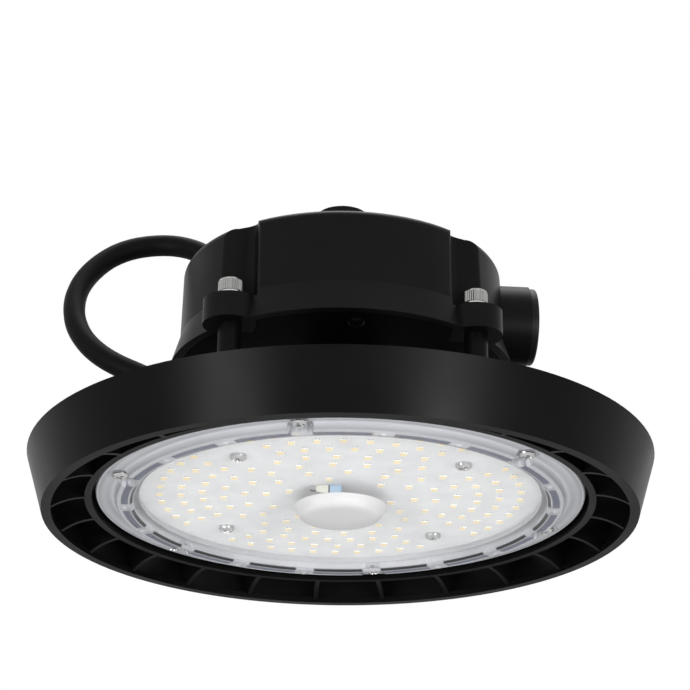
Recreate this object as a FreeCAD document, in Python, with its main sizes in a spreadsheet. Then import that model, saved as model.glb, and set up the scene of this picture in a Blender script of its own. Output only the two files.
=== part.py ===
"""High bay light: a round suspended industrial luminaire, in millimetres.

The light stands in its own frame as it rests on a bench: +Z up, the lens facing down, and the
origin at the centre of the rim that it rests on. The flat sides of the driver housing face along
X and Y, and the control port points along +X.
"""
import FreeCAD, Part
import math
import os

import Sketcher

VECTOR = FreeCAD.Vector
SHEET = "Sizes"
SHEET_ROWS = [
    # Heat sink: skirt, rim, lens ring, plate and fins
    ("rim_radius", 123.0, "outer radius of the lower rim"),
    ("rim_lip", 4.0, "width of the flat lip under the rim"),
    ("rim_lip_depth", 2.6, "height of the lip"),
    ("skirt_radius", 130.0, "outer radius at the top of the skirt"),
    ("skirt_height", 24.0, "height of the skirt"),
    ("skirt_wall", 2.2, "wall of the skirt"),
    ("ring_bore", 102.6, "inner radius of the ring round the lens"),
    ("ring_wall", 2.9, "wall of the ring round the lens"),
    ("ring_foot", 5.9, "height of the lower face of the ring"),
    ("plate_face", 12.5, "height of the lower face of the plate"),
    ("plate_thickness", 4.0, "thickness of the plate"),
    ("fin_count", 24, "number of radial fins"),
    ("fin_thickness", 2.0, "thickness of a fin"),
    ("fin_toe", 1.0, "height of the lower end of a fin at the rim"),
    ("fin_lap", 0.4, "how far the arch of a fin runs on above the lip"),
    ("fin_drop", 1.6, "drop of the fins below the top of the skirt"),
    ("fin_crest", 34.0, "height of the fins beside the posts"),
    ("fin_crest_radius", 62.0, "radius at which the fins reach their crest"),
    ("fin_inner_radius", 32.0, "radius of the inner ends of the fins"),
    ("post_pitch", 100.0, "distance between neighbouring posts"),
    ("post_radius", 4.8, "radius of a post"),
    ("duct_radius", 11.0, "outer radius of the wire duct"),
    ("duct_bore", 8.0, "bore radius of the wire duct"),
    ("duct_top", 60.0, "height of the top of the wire duct"),
    # Light board
    ("pad_thickness", 0.3, "thickness of the heat pad"),
    ("board_radius", 84.8, "radius of the light board"),
    ("board_thickness", 1.6, "thickness of the light board"),
    ("wire_hole", 5.0, "radius of the hole for the wires"),
    ("chip_length", 3.5, "length of a light chip"),
    ("chip_width", 2.8, "width of a light chip"),
    ("chip_height", 0.7, "height of a light chip"),
    ("chip_ring_outer", 74.9, "radius of the outermost ring of chips"),
    ("chip_ring_pitch", 8.8, "distance between rings of chips"),
    ("board_screw_circle", 63.5, "radius of the circle of board screws"),
    ("terminal_length", 13.0, "length of the board terminal"),
    ("terminal_width", 7.6, "width of the board terminal"),
    ("terminal_height", 4.6, "height of the board terminal"),
    ("terminal_offset_x", -5.0, "place of the board terminal along X"),
    ("terminal_offset_y", -8.2, "place of the board terminal along Y"),
    # Lens cover
    ("lens_clearance", 1.6, "gap between the lens and the ring"),
    ("lens_board_gap", 0.2, "gap between the lens and the light board"),
    ("lens_lip_face", 7.9, "height of the outer lip of the lens"),
    ("lens_top", 10.9, "height of the upper face of the lens flange"),
    ("window_radius", 83.3, "radius of the clear window"),
    ("window_face", 6.0, "height of the lower face of the window"),
    ("window_thickness", 2.2, "thickness of the window"),
    ("window_wall", 2.0, "wall round the window"),
    ("ridge_face", 4.9, "height of the lower face of the ridge"),
    ("ridge_inner", 86.4, "inner radius of the ridge"),
    ("ridge_outer", 92.2, "outer radius of the ridge"),
    ("ridge_wall", 1.3, "wall of the ridge"),
    ("ridge_slope_inner", 0.8, "width of the slope inside the ridge"),
    ("ridge_slope_outer", 1.6, "width of the slope outside the ridge"),
    ("station_count", 18, "number of ribs across the ridge"),
    ("station_first", 15.0, "angle of the first lens screw"),
    ("slot_angle", 14.6, "angle that a slot of the ridge spans"),
    ("nub_radius", 1.6, "radius of a nub under the ridge"),
    ("nub_height", 0.7, "height of a nub"),
    ("trough_width", 9.6, "width of a screw trough"),
    ("trough_floor", 8.6, "height of the floor of a screw trough"),
    ("lens_screw_circle", 94.1, "radius of the circle of lens screws"),
    ("hump_radius", 19.4, "radius of the root of the central hump"),
    ("hump_face_radius", 17.6, "radius of the flat of the central hump"),
    ("hump_face", 1.8, "height of the flat of the central hump"),
    ("hump_wall", 1.4, "wall of the central hump"),
    ("gasket_inner", 96.6, "inner radius of the lens gasket"),
    ("gasket_width", 4.0, "width of the lens gasket"),
    # Small screws
    ("small_shank", 1.9, "radius of a small screw's shank"),
    ("small_head", 3.6, "radius of a small screw's head"),
    ("small_head_height", 2.4, "height of a small screw's head"),
    ("small_socket", 1.25, "radius of a small screw's socket"),
    ("small_socket_depth", 0.9, "depth of a small screw's socket"),
    ("small_crown", 0.9, "bevel round a small screw's head"),
    ("small_length", 9.0, "length of a small screw under its head"),
    ("thread_clearance", 0.1, "gap round a screw in its thread"),
    ("hole_clearance", 0.35, "gap round a screw in a clearance hole"),
    ("boss_wall", 2.6, "wall of a small screw boss"),
    ("boss_floor", 1.0, "floor of a small screw boss past its hole"),
    ("run_out", 1.0, "room in a blind hole past the end of its screw"),
    # Driver housing
    ("housing_foot", 64.0, "height of the lower face of the housing"),
    ("housing_foot_radius", 73.0, "radius of the foot of the housing"),
    ("housing_flare", 14.0, "height of the flare above the foot"),
    ("housing_waist_radius", 68.8, "radius of the housing above the flare"),
    ("housing_shoulder", 110.5, "height of the shoulder of the housing"),
    ("housing_shoulder_radius", 68.0, "radius of the housing at the shoulder"),
    ("shoulder_round", 4.0, "rounding of the shoulder"),
    ("roof_rise", 17.5, "rise of the roof from the shoulder to the hub"),
    ("roof_inner_radius", 14.0, "radius at which the roof meets the hub"),
    ("housing_wall", 3.2, "wall of the housing"),
    ("notch_x", 39.5, "half width of the front and back lobes"),
    ("notch_y", 43.5, "half width of the side lobes"),
    ("notch_round", 4.5, "rounding inside a notch"),
    ("lobe_round", 2.5, "rounding at the corners of a lobe"),
    ("ear_radius", 11.0, "radius of a fixing ear"),
    ("ear_thickness", 10.6, "thickness of a fixing ear"),
    ("hub_radius", 11.0, "radius of the hub for the hook"),
    ("hub_top", 140.0, "height of the hub for the hook"),
    ("hook_bore", 4.25, "radius of the tapped hole for the hook"),
    ("hook_depth", 16.0, "depth of the tapped hole for the hook"),
    ("rebate_depth", 4.5, "depth of the recess for the base plate"),
    ("rebate_width", 4.2, "width of the ledge for the base gasket"),
    ("fit_gap", 0.3, "gap round a piece that drops into a recess"),
    ("base_gasket_thickness", 1.2, "thickness of the base gasket"),
    ("base_screw_circle", 61.0, "radius of the circle of base plate screws"),
    ("base_boss_height", 12.0, "height of a base plate screw boss"),
    ("collar_height", 9.0, "height of the collar under the base plate"),
    ("collar_wall", 2.4, "wall of the collar under the base plate"),
    # Mounting screws
    ("cap_shank", 3.0, "radius of a cap screw's shank"),
    ("cap_head", 5.1, "radius of a cap screw's head"),
    ("cap_head_height", 6.0, "height of a cap screw's head"),
    ("cap_socket", 2.9, "corner radius of a cap screw's socket"),
    ("cap_socket_depth", 3.2, "depth of a cap screw's socket"),
    ("cap_grip", 10.0, "depth of a cap screw in its post"),
    ("cap_point", 0.6, "bevel at the end of a cap screw"),
    ("cap_bevel", 0.5, "bevel round a cap screw's head"),
    ("washer_radius", 6.0, "radius of a flat washer"),
    ("washer_thickness", 1.6, "thickness of a flat washer and of a spring washer"),
    # Control port
    ("port_height", 91.2, "height of the axis of the control port"),
    ("port_radius", 17.4, "radius of the port boss"),
    ("port_reach", 80.0, "distance of the face of the port boss from the axis"),
    ("port_bore", 10.2, "bore radius of the port"),
    ("plug_radius", 16.6, "radius of the port plug"),
    ("plug_thickness", 3.2, "thickness of the port plug"),
    ("plug_depth", 9.0, "depth of the port plug in its bore"),
    ("plug_wall", 2.4, "wall of the neck of the port plug"),
    ("plug_floor", 1.0, "end wall of the neck of the port plug"),
    ("ring_section", 1.0, "radius of the section of a sealing ring"),
    # Cable gland
    ("gland_x", -42.0, "place of the gland along X"),
    ("gland_y", 31.5, "place of the gland along Y"),
    ("gland_foot", 116.0, "height of the root of the gland boss"),
    ("gland_tilt", 40.0, "tilt of the gland from upright"),
    ("gland_boss_radius", 10.5, "radius of the gland boss"),
    ("gland_boss_height", 3.0, "height of the gland boss above its root"),
    ("gland_boss_root", 9.0, "depth of the gland boss below its root"),
    ("gland_flats", 8.5, "half the width of the gland across its flats"),
    ("gland_body_height", 3.0, "height of the hexagon of the gland body"),
    ("gland_neck_height", 3.0, "height of the neck of the gland body"),
    ("gland_neck_radius", 6.4, "radius of the neck of the gland body"),
    ("gland_neck_gap", 0.5, "gap round the lead in the neck of the gland body"),
    ("gland_thread_radius", 6.4, "radius of the threaded end of the gland body"),
    ("gland_thread_length", 7.0, "length of the threaded end of the gland body"),
    ("gland_nut_height", 7.0, "height of the gland nut"),
    ("gland_nut_flats", 7.9, "half the width of the gland nut across its flats"),
    ("gland_nut_radius", 7.7, "radius of the end of the gland nut"),
    ("gland_nut_wall", 1.4, "end wall of the gland nut"),
    ("lead_radius", 4.8, "radius of the mains lead"),
    ("core_radius", 1.35, "radius of a core of the mains lead"),
    ("core_length", 24.0, "length of the stripped cores"),
    # Driver inside the housing
    ("driver_board_height", 76.0, "height of the lower face of the driver board"),
    ("driver_board_length", 84.0, "length of the driver board"),
    ("driver_board_width", 66.0, "width of the driver board"),
    ("driver_board_thickness", 1.6, "thickness of the driver board"),
    ("pillar_x", 36.0, "place of a driver board pillar along X"),
    ("pillar_y", 27.0, "place of a driver board pillar along Y"),
    ("pillar_radius", 3.6, "radius of a driver board pillar"),
    ("board_screw_shank", 1.25, "radius of a driver board screw's shank"),
    ("board_screw_head", 2.9, "radius of a driver board screw's head"),
    ("board_screw_head_height", 1.6, "height of a driver board screw's head"),
    ("board_screw_grip", 5.0, "depth of a driver board screw in its pillar"),
    ("transformer_length", 30.0, "length of the transformer"),
    ("transformer_width", 26.0, "width of the transformer"),
    ("transformer_height", 20.0, "height of the transformer"),
    ("transformer_limb", 4.0, "height of the upper and lower limbs of the transformer"),
    ("transformer_inset", 4.5, "depth of the side recesses of the transformer"),
    ("capacitor_radius", 6.3, "radius of a capacitor"),
    ("capacitor_height", 22.0, "height of a capacitor"),
    ("capacitor_x", 26.0, "distance of the capacitors from the axis along X"),
    ("capacitor_y", 6.0, "place of the second capacitor along Y"),
    ("capacitor_pitch", 16.0, "distance between the two neighbouring capacitors"),
    ("capacitor_far_y", -14.0, "place of the third capacitor along Y"),
    ("choke_radius", 8.0, "radius of the choke"),
    ("choke_height", 12.0, "height of the choke"),
    ("choke_bore", 3.2, "bore radius of the choke"),
    ("choke_x", -26.0, "place of the choke along X"),
    ("choke_y", 6.0, "place of the choke along Y"),
    ("line_terminal_length", 18.0, "length of the line terminal"),
    ("line_terminal_width", 10.0, "width and height of the line terminal"),
    ("line_terminal_x", -13.0, "place of the line terminal along X"),
    ("line_terminal_y", 21.0, "place of the line terminal along Y"),
    ("wire_radius", 0.9, "radius of an inner wire"),
]

# The route of the mains lead from the mouth of the gland nut to its bare end, in millimetres:
# a loop beside the housing, then under the foot of the housing and onto the fins behind it.
LEAD_ROUTE = [
    (-57.0, 31.5, 133.9), (-75.0, 42.5, 143.5), (-98.5, 42.0, 138.0), (-114.5, 33.0, 117.0),
    (-115.5, 20.5, 92.5), (-103.5, 9.5, 72.5), (-78.0, 1.0, 58.8), (-58.0, 0.0, 48.0),
    (-41.0, 9.0, 41.5), (-28.0, 27.5, 39.2), (-14.0, 48.0, 39.3), (6.0, 67.0, 38.5),
    (31.0, 80.5, 35.8), (55.0, 88.0, 32.5),
]
# The share of the shorter run that each arc of a wire takes up.
ARC_SHARE = 0.45
# How far the wires in the duct lie from its axis.
WIRE_LANE = 1.5


class Size:
    """A size: its present value and the expression that binds it to the sheet."""

    def __init__(self, value, text):
        self.value = float(value)
        self.text = text

    def __add__(self, other):
        other = as_size(other)
        return Size(self.value + other.value, f"({self.text} + {other.text})")

    def __radd__(self, other):
        return as_size(other) + self

    def __sub__(self, other):
        other = as_size(other)
        return Size(self.value - other.value, f"({self.text} - {other.text})")

    def __rsub__(self, other):
        return as_size(other) - self

    def __mul__(self, other):
        other = as_size(other)
        return Size(self.value * other.value, f"({self.text} * {other.text})")

    def __rmul__(self, other):
        return as_size(other) * self

    def __truediv__(self, other):
        other = as_size(other)
        return Size(self.value / other.value, f"({self.text} / {other.text})")

    def __neg__(self):
        return as_size(0) - self


def as_size(number):
    """A plain number as a size."""
    return number if isinstance(number, Size) else Size(number, f"({float(number)!r})")


def root(size):
    """The square root of a size."""
    return Size(math.sqrt(size.value), f"sqrt({size.text})")


def cosine(angle):
    """The cosine of a size in degrees."""
    return Size(math.cos(math.radians(angle.value)), f"cos({angle.text})")


def sine(angle):
    """The sine of a size in degrees."""
    return Size(math.sin(math.radians(angle.value)), f"sin({angle.text})")


class Sizes:
    """The sizes of the sheet, each under its alias."""


def make_sheet(doc):
    """The spreadsheet with the driving sizes."""
    sheet = doc.addObject("Spreadsheet::Sheet", SHEET)
    sizes = Sizes()
    for row, (alias, value, meaning) in enumerate(SHEET_ROWS, start=1):
        sheet.set(f"A{row}", str(value))
        sheet.setAlias(f"A{row}", alias)
        sheet.set(f"B{row}", meaning)
        setattr(sizes, alias, Size(value, f"{SHEET}.{alias}"))
    doc.recompute()
    return sizes


doc = FreeCAD.newDocument("HighBayLight")
S = make_sheet(doc)
PIECES = []


def bind(thing, field, size):
    """Bind a property of an object to a size."""
    size = as_size(size)
    thing.setExpression(field, size.text)


def new_body(label, is_piece=True):
    """A body for one piece, or for the pattern of a group of like pieces."""
    body = doc.addObject("PartDesign::Body", label)
    body.Label = label
    if is_piece:
        PIECES.append(body)
    return body


def origin_feature(body, role):
    """A plane or an axis of a body's own origin."""
    return next(part for part in body.Origin.OriginFeatures if part.Role == role)


class Circle:
    """A round loop of a sketch."""

    def __init__(self, x, y, radius):
        self.x, self.y, self.radius = as_size(x), as_size(y), as_size(radius)


class Bend:
    """A vertex from which the outline runs on along an arc of a given radius to the next one."""

    def __init__(self, x, y, radius, turns_left=True):
        self.x, self.y, self.radius = as_size(x), as_size(y), as_size(radius)
        self.turns_left = turns_left


def arc_through(start, end, radius, turns_left):
    """The short arc from start to end that turns left or right along its way."""
    chord = end - start
    middle = (start + end) * 0.5
    side = VECTOR(-chord.y, chord.x, 0).normalize() * (1 if turns_left else -1)
    half = chord.Length / 2
    centre = middle + side * math.sqrt(max(radius ** 2 - half ** 2, 0.0))
    crown = centre + (middle - centre).normalize() * radius if (middle - centre).Length else \
        centre - side * radius
    return Part.Arc(start, crown, end)


def draw_loop(sketch, loop):
    """Draw one closed loop and bind every vertex of it."""
    if isinstance(loop, Circle):
        index = sketch.addGeometry(Part.Circle(VECTOR(loop.x.value, loop.y.value, 0),
                                               VECTOR(0, 0, 1), loop.radius.value), False)
        pin(sketch, index, 3, loop.x, loop.y)
        fix(sketch, Sketcher.Constraint("Radius", index, loop.radius.value), loop.radius)
        return
    corners = [corner if isinstance(corner, Bend) else tuple(map(as_size, corner)) for corner in loop]
    places = [VECTOR(c.x.value, c.y.value, 0) if isinstance(c, Bend)
              else VECTOR(c[0].value, c[1].value, 0) for c in corners]
    ends = []
    for number, corner in enumerate(corners):
        start, end = places[number], places[(number + 1) % len(places)]
        if isinstance(corner, Bend):
            arc = arc_through(start, end, corner.radius.value, corner.turns_left)
            index = sketch.addGeometry(arc, False)
            fix(sketch, Sketcher.Constraint("Radius", index, corner.radius.value), corner.radius)
            forward = (sketch.getPoint(index, 1) - start).Length < (sketch.getPoint(index, 2) - start).Length
            ends.append((index, 1, 2) if forward else (index, 2, 1))
        else:
            ends.append((sketch.addGeometry(Part.LineSegment(start, end), False), 1, 2))
    for number, corner in enumerate(corners):
        index, first, _ = ends[number]
        before, _, last = ends[number - 1]
        sketch.addConstraint(Sketcher.Constraint("Coincident", before, last, index, first))
        x, y = (corner.x, corner.y) if isinstance(corner, Bend) else corner
        pin(sketch, index, first, x, y)


def fix(sketch, constraint, size):
    """Add a dimension to a sketch and bind it."""
    index = sketch.addConstraint(constraint)
    sketch.setExpression(f"Constraints[{index}]", size.text)


def pin(sketch, index, end, x, y):
    """Bind a point of a sketch to its two distances from the origin."""
    fix(sketch, Sketcher.Constraint("DistanceX", -1, 1, index, end, x.value), x)
    fix(sketch, Sketcher.Constraint("DistanceY", -1, 1, index, end, y.value), y)


def draw(body, name, loops, plane="XY_Plane", height=None):
    """A sketch of closed loops on a plane of the body, lifted by height along its normal."""
    sketch = body.newObject("Sketcher::SketchObject", name)
    sketch.AttachmentSupport = [(origin_feature(body, plane), "")]
    sketch.MapMode = "FlatFace"
    if height is not None:
        bind(sketch, ".AttachmentOffset.Base.z", height)
    for loop in loops:
        draw_loop(sketch, loop)
    return sketch


def revolve(body, name, loops, groove=False):
    """Turn a section, drawn as radius and height, about the upright axis."""
    sketch = draw(body, name + "Section", loops, "XZ_Plane")
    kind = "PartDesign::Groove" if groove else "PartDesign::Revolution"
    turned = body.newObject(kind, name)
    turned.Profile = sketch
    turned.ReferenceAxis = (sketch, ["V_Axis"])
    turned.Angle = 360
    return turned


def pad(body, name, loops, depth, plane="XY_Plane", height=None, both_sides=False, back=False):
    """Grow a sketch into the body along its normal."""
    padded = body.newObject("PartDesign::Pad", name)
    padded.Profile = draw(body, name + "Outline", loops, plane, height)
    if both_sides:
        padded.SideType = "Symmetric"
    padded.Reversed = back
    bind(padded, "Length", depth)
    return padded


def pocket(body, name, loops, depth, plane="XY_Plane", height=None, up=True):
    """Cut a sketch out of the body, along its normal where up is true."""
    cut = body.newObject("PartDesign::Pocket", name)
    cut.Profile = draw(body, name + "Outline", loops, plane, height)
    cut.Reversed = up
    bind(cut, "Length", depth)
    return cut


def around(body, name, originals, count):
    """Repeat features evenly about the upright axis."""
    pattern = body.newObject("PartDesign::PolarPattern", name)
    pattern.Originals = originals
    pattern.Axis = (origin_feature(body, "Z_Axis"), [""])
    pattern.Angle = 360
    bind(pattern, "Occurrences", count)
    body.Tip = pattern
    return pattern


def round_edges(body, name, base, radius, wanted):
    """Round the edges of a feature that a test picks out."""
    doc.recompute()
    names = [f"Edge{i}" for i, edge in enumerate(base.Shape.Edges, start=1) if wanted(edge)]
    if not names:
        raise RuntimeError(f"{name}: no edge to round")
    fillet = body.newObject("PartDesign::Fillet", name)
    fillet.Base = (base, names)
    bind(fillet, "Radius", radius)
    return fillet


def place_body(body, x=None, y=None, z=None):
    """Bind the place of a body."""
    for axis, size in (("x", x), ("y", y), ("z", z)):
        if size is not None:
            bind(body, f".Placement.Base.{axis}", size)


def group(label, pattern_body, places):
    """A node of like pieces: copies of one pattern piece, each at its own placement."""
    doc.recompute()
    shape = pattern_body.Shape
    node = doc.addObject("Part::Feature", label)
    node.Label = label
    node.Shape = Part.Compound([shape.transformed(place.toMatrix(), copy=True) for place in places])
    PIECES.append(node)
    return node


def ring_of_places(radius, height, angles, turn=0.0, flip=False):
    """Placements on a circle, each turned with its angle."""
    places = []
    for angle in angles:
        spin = FreeCAD.Rotation(VECTOR(0, 0, 1), angle + turn)
        if flip:
            spin = spin * FreeCAD.Rotation(VECTOR(1, 0, 0), 180)
        a = math.radians(angle)
        places.append(FreeCAD.Placement(
            VECTOR(radius * math.cos(a), radius * math.sin(a), height), spin))
    return places


def corner_places(reach_x, reach_y, height, flip=False):
    """Placements at the four corners of a rectangle."""
    spin = FreeCAD.Rotation(VECTOR(1, 0, 0), 180 if flip else 0)
    return [FreeCAD.Placement(VECTOR(sx * reach_x, sy * reach_y, height), spin)
            for sx in (-1, 1) for sy in (-1, 1)]


def rectangle(x0, y0, x1, y1):
    """A rectangular loop."""
    return [(x0, y0), (x1, y0), (x1, y1), (x0, y1)]


def lobed_loop(radius, half_x, half_y):
    """The plan of the housing: a circle with a square notch at each diagonal."""
    along_x = root(radius * radius - half_y * half_y)
    along_y = root(radius * radius - half_x * half_x)
    return [
        Bend(along_x, -half_y, radius), (along_x, half_y), (half_x, half_y),
        Bend(half_x, along_y, radius), (-half_x, along_y), (-half_x, half_y),
        Bend(-along_x, half_y, radius), (-along_x, -half_y), (-half_x, -half_y),
        Bend(-half_x, -along_y, radius), (half_x, -along_y), (half_x, -half_y),
    ]


# Heights and radii that several pieces share
half_pitch = S.post_pitch / 2
plate_top = S.plate_face + S.plate_thickness
board_face = S.plate_face - S.pad_thickness - S.board_thickness
lens_radius = S.ring_bore - S.lens_clearance
screw_hole = S.small_shank + S.thread_clearance
clear_hole = S.small_shank + S.hole_clearance
ear_top = S.housing_foot + S.ear_thickness
base_plate_top = S.housing_foot + S.rebate_depth - S.base_gasket_thickness
cap_seat = ear_top + 2 * S.washer_thickness
station_pitch = 360.0 / S.station_count.value
SCREW_STATIONS = [S.station_first.value + 60 * k for k in range(6)]
BOARD_SCREW_ANGLES = [45 + 90 * k for k in range(4)]
wire_height = board_face - S.terminal_height / 2


def make_heat_sink():
    """The die-cast heat sink: plate, lens ring, fins, skirt, posts and wire duct."""
    body = new_body("heat_sink")
    ring_outer = S.ring_bore + S.ring_wall
    revolve(body, "Plate", [[
        (S.wire_hole, S.plate_face), (S.ring_bore, S.plate_face), (S.ring_bore, S.ring_foot),
        (ring_outer, S.ring_foot), (ring_outer, plate_top), (S.duct_radius, plate_top),
        (S.duct_radius, S.duct_top), (S.duct_bore, S.duct_top), (S.duct_bore, plate_top),
        (S.wire_hole, plate_top),
    ]])
    root_radius = S.ring_bore + S.ring_wall / 2
    toe_radius = S.rim_radius - S.rim_lip + S.fin_lap
    run, rise = toe_radius - root_radius, S.ring_foot - S.fin_toe
    arch = (run * run + rise * rise) / (2 * rise)
    fin_end = S.skirt_height - S.fin_drop
    slope = (S.skirt_radius - S.rim_radius) / S.skirt_height
    wall_middle = S.rim_radius - S.skirt_wall / 2
    middle_height = plate_top - S.plate_thickness / 2
    fin = pad(body, "Fin", [[
        Bend(root_radius, S.ring_foot, arch, turns_left=False), (toe_radius, S.fin_toe),
        (wall_middle + slope * S.fin_toe, S.fin_toe), (wall_middle + slope * fin_end, fin_end),
        (S.fin_crest_radius, S.fin_crest), (S.fin_inner_radius, S.fin_crest),
        (S.fin_inner_radius, middle_height), (root_radius, middle_height),
    ]], S.fin_thickness, plane="XZ_Plane", both_sides=True)
    around(body, "Fins", [fin], S.fin_count)
    lip_inner = S.rim_radius - S.rim_lip
    inner_foot = S.rim_radius + slope * S.rim_lip_depth - S.skirt_wall
    revolve(body, "Skirt", [[
        (lip_inner, 0), (S.rim_radius, 0), (S.skirt_radius, S.skirt_height),
        (S.skirt_radius - S.skirt_wall, S.skirt_height), (inner_foot, S.rim_lip_depth),
        (lip_inner, S.rim_lip_depth),
    ]])
    post_height = S.housing_foot - middle_height
    pad(body, "Posts", [Circle(sx * half_pitch, sy * half_pitch, S.post_radius)
                        for sx in (-1, 1) for sy in (-1, 1)], post_height, height=middle_height)
    boss_radius = screw_hole + S.boss_wall
    boss_top = S.lens_top + S.small_length + S.run_out + S.boss_floor
    first = as_size(S.station_first)
    boss = pad(body, "LensBoss", [Circle(S.lens_screw_circle * cosine(first),
                                         S.lens_screw_circle * sine(first), boss_radius)],
               boss_top - middle_height, height=middle_height)
    around(body, "LensBosses", [boss], 6)
    corner = S.board_screw_circle * math.sqrt(0.5)
    screw_corners = [(sx * corner, sy * corner) for sx in (-1, 1) for sy in (-1, 1)]
    board_boss_top = board_face + S.small_length + S.run_out + S.boss_floor
    pad(body, "BoardBosses", [Circle(x, y, boss_radius) for x, y in screw_corners],
        board_boss_top - middle_height, height=middle_height)
    pocket(body, "BoardHoles", [Circle(x, y, screw_hole) for x, y in screw_corners],
           board_boss_top - S.boss_floor - S.plate_face, height=S.plate_face)
    hole = pocket(body, "LensHole", [Circle(S.lens_screw_circle * cosine(first),
                                            S.lens_screw_circle * sine(first), screw_hole)],
                  boss_top - S.boss_floor - S.plate_face, height=S.plate_face)
    around(body, "LensHoles", [hole], 6)
    pocket(body, "PostHoles", [Circle(sx * half_pitch, sy * half_pitch, S.cap_shank + S.thread_clearance)
                               for sx in (-1, 1) for sy in (-1, 1)],
           S.cap_grip + 2 * S.run_out, height=S.housing_foot, up=False)
    return body


def make_light_board():
    """The light board, its heat pad, its chips, its screws and its wire terminal."""
    corner = S.board_screw_circle * math.sqrt(0.5)
    screw_corners = [(sx * corner, sy * corner) for sx in (-1, 1) for sy in (-1, 1)]
    holes = [Circle(0, 0, S.wire_hole)] + [Circle(x, y, clear_hole) for x, y in screw_corners]
    board = new_body("led_board")
    pad(board, "Board", [Circle(0, 0, S.board_radius)] + holes, S.board_thickness, height=board_face)
    sheet = new_body("heat_pad")
    pad(sheet, "Pad", [Circle(0, 0, S.board_radius)] + holes, S.pad_thickness,
        height=S.plate_face - S.pad_thickness)

    chip = new_body("chip_pattern", is_piece=False)
    pad(chip, "Chip", [rectangle(-S.chip_length / 2, -S.chip_width / 2,
                                 S.chip_length / 2, S.chip_width / 2)], S.chip_height)
    height = board_face.value - S.chip_height.value
    places = [FreeCAD.Placement(VECTOR(x, y, height), FreeCAD.Rotation()) for x, y in chip_centres()]
    group("led_chips", chip, places)

    terminal = new_body("board_terminal")
    x0, y0 = S.terminal_offset_x - S.terminal_length / 2, S.terminal_offset_y - S.terminal_width / 2
    x1, y1 = S.terminal_offset_x + S.terminal_length / 2, S.terminal_offset_y + S.terminal_width / 2
    foot = board_face - S.terminal_height
    block = pad(terminal, "Block", [rectangle(x0, y0, x1, y1)], S.terminal_height, height=foot)
    round_edges(terminal, "BlockEdges", block, S.wire_radius / 2,
                lambda edge: edge.BoundBox.ZMax < foot.value + 0.01)
    mouths = [Circle(S.terminal_offset_x + side * S.terminal_length / 4, wire_height, S.wire_radius + 0.1)
              for side in (-1, 1)]
    pocket(terminal, "Mouths", mouths, S.terminal_width / 2, plane="XZ_Plane", height=-y1, up=True)


def chip_centres():
    """The centres of the chips: seven rings, the outer four broken at the board screws."""
    pitch = S.chip_ring_pitch.value
    rings = [(10, 7.5, 4, 0.0), (8, 9.0, 4, 0.0), (7, 10.0, 4, 0.0), (6, 14.7, 4, 0.0),
             (18, 20.0, 1, 0.0), (12, 30.0, 1, 0.0), (6, 60.0, 1, 12.7)]
    centres = []
    for ring, (count, step, sectors, start) in enumerate(rings):
        radius = S.chip_ring_outer.value - ring * pitch
        for sector in range(sectors):
            for chip in range(count):
                middle = (count - 1) / 2 if sectors > 1 else 0
                angle = math.radians(start + 90 * sector + step * (chip - middle))
                centres.append((radius * math.cos(angle), radius * math.sin(angle)))
    return centres


def make_lens():
    """The moulded lens cover with its ridge of slots, its troughs and its nubs, and its gasket."""
    lens = new_body("lens_cover")
    window_top = S.window_face + S.window_thickness
    wall_outer = S.window_radius + S.window_wall
    wall_top = board_face - S.lens_board_gap
    hump_root = S.hump_radius - S.hump_wall
    hump_floor = S.hump_face + S.hump_wall
    revolve(lens, "Shell", [[
        (0, S.hump_face), (S.hump_face_radius, S.hump_face), (S.hump_radius, S.window_face),
        (S.ridge_inner - S.ridge_slope_inner, S.window_face), (S.ridge_inner, S.ridge_face),
        (S.ridge_outer, S.ridge_face), (S.ridge_outer + S.ridge_slope_outer, S.lens_lip_face),
        (lens_radius, S.lens_lip_face), (lens_radius, S.lens_top), (wall_outer, S.lens_top),
        (wall_outer, wall_top), (S.window_radius, wall_top),
        (S.window_radius, window_top), (hump_root, window_top),
        (S.hump_face_radius - S.hump_wall, hump_floor), (0, hump_floor),
    ]])
    inner, outer = S.ridge_inner + S.ridge_wall, S.ridge_outer - S.ridge_wall
    middle = as_size(S.station_first) + station_pitch / 2
    low, high = middle - S.slot_angle / 2, middle + S.slot_angle / 2
    slot = pocket(lens, "Slot", [[
        Bend(inner * cosine(low), inner * sine(low), inner),
        (inner * cosine(high), inner * sine(high)),
        Bend(outer * cosine(high), outer * sine(high), outer, turns_left=False),
        (outer * cosine(low), outer * sine(low)),
    ]], S.lens_top - S.ridge_face - S.ridge_wall, height=S.lens_top, up=False)
    around(lens, "Slots", [slot], S.station_count)
    half = S.trough_width / 2
    far, near = S.lens_screw_circle, S.ridge_inner + S.ridge_wall + half
    turn = as_size(S.station_first)
    along = lambda r, t: (r * cosine(turn) - t * sine(turn), r * sine(turn) + t * cosine(turn))
    trough = pocket(lens, "Trough", [[
        along(near, -half), Bend(*along(far, -half), half), Bend(*along(far + half, 0), half),
        along(far, half), Bend(*along(near, half), half), Bend(*along(near - half, 0), half),
    ]], S.trough_floor - S.ridge_face + S.nub_height, height=S.ridge_face - S.nub_height)
    hole = pocket(lens, "Hole", [Circle(*along(S.lens_screw_circle, 0), clear_hole)],
                  S.lens_top - S.ridge_face, height=S.ridge_face)
    around(lens, "Troughs", [trough, hole], 6)
    nub_circle = (S.ridge_inner + S.ridge_outer) / 2
    stations = [turn + station_pitch * k for k in range(18) if k % 3]
    pad(lens, "Nubs", [Circle(nub_circle * cosine(a), nub_circle * sine(a), S.nub_radius)
                       for a in stations], S.nub_height, height=S.ridge_face, back=True)

    gasket = new_body("lens_gasket")
    pad(gasket, "Gasket", [Circle(0, 0, S.gasket_inner), Circle(0, 0, S.gasket_inner + S.gasket_width)],
        S.plate_face - S.lens_top, height=S.lens_top)


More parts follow.
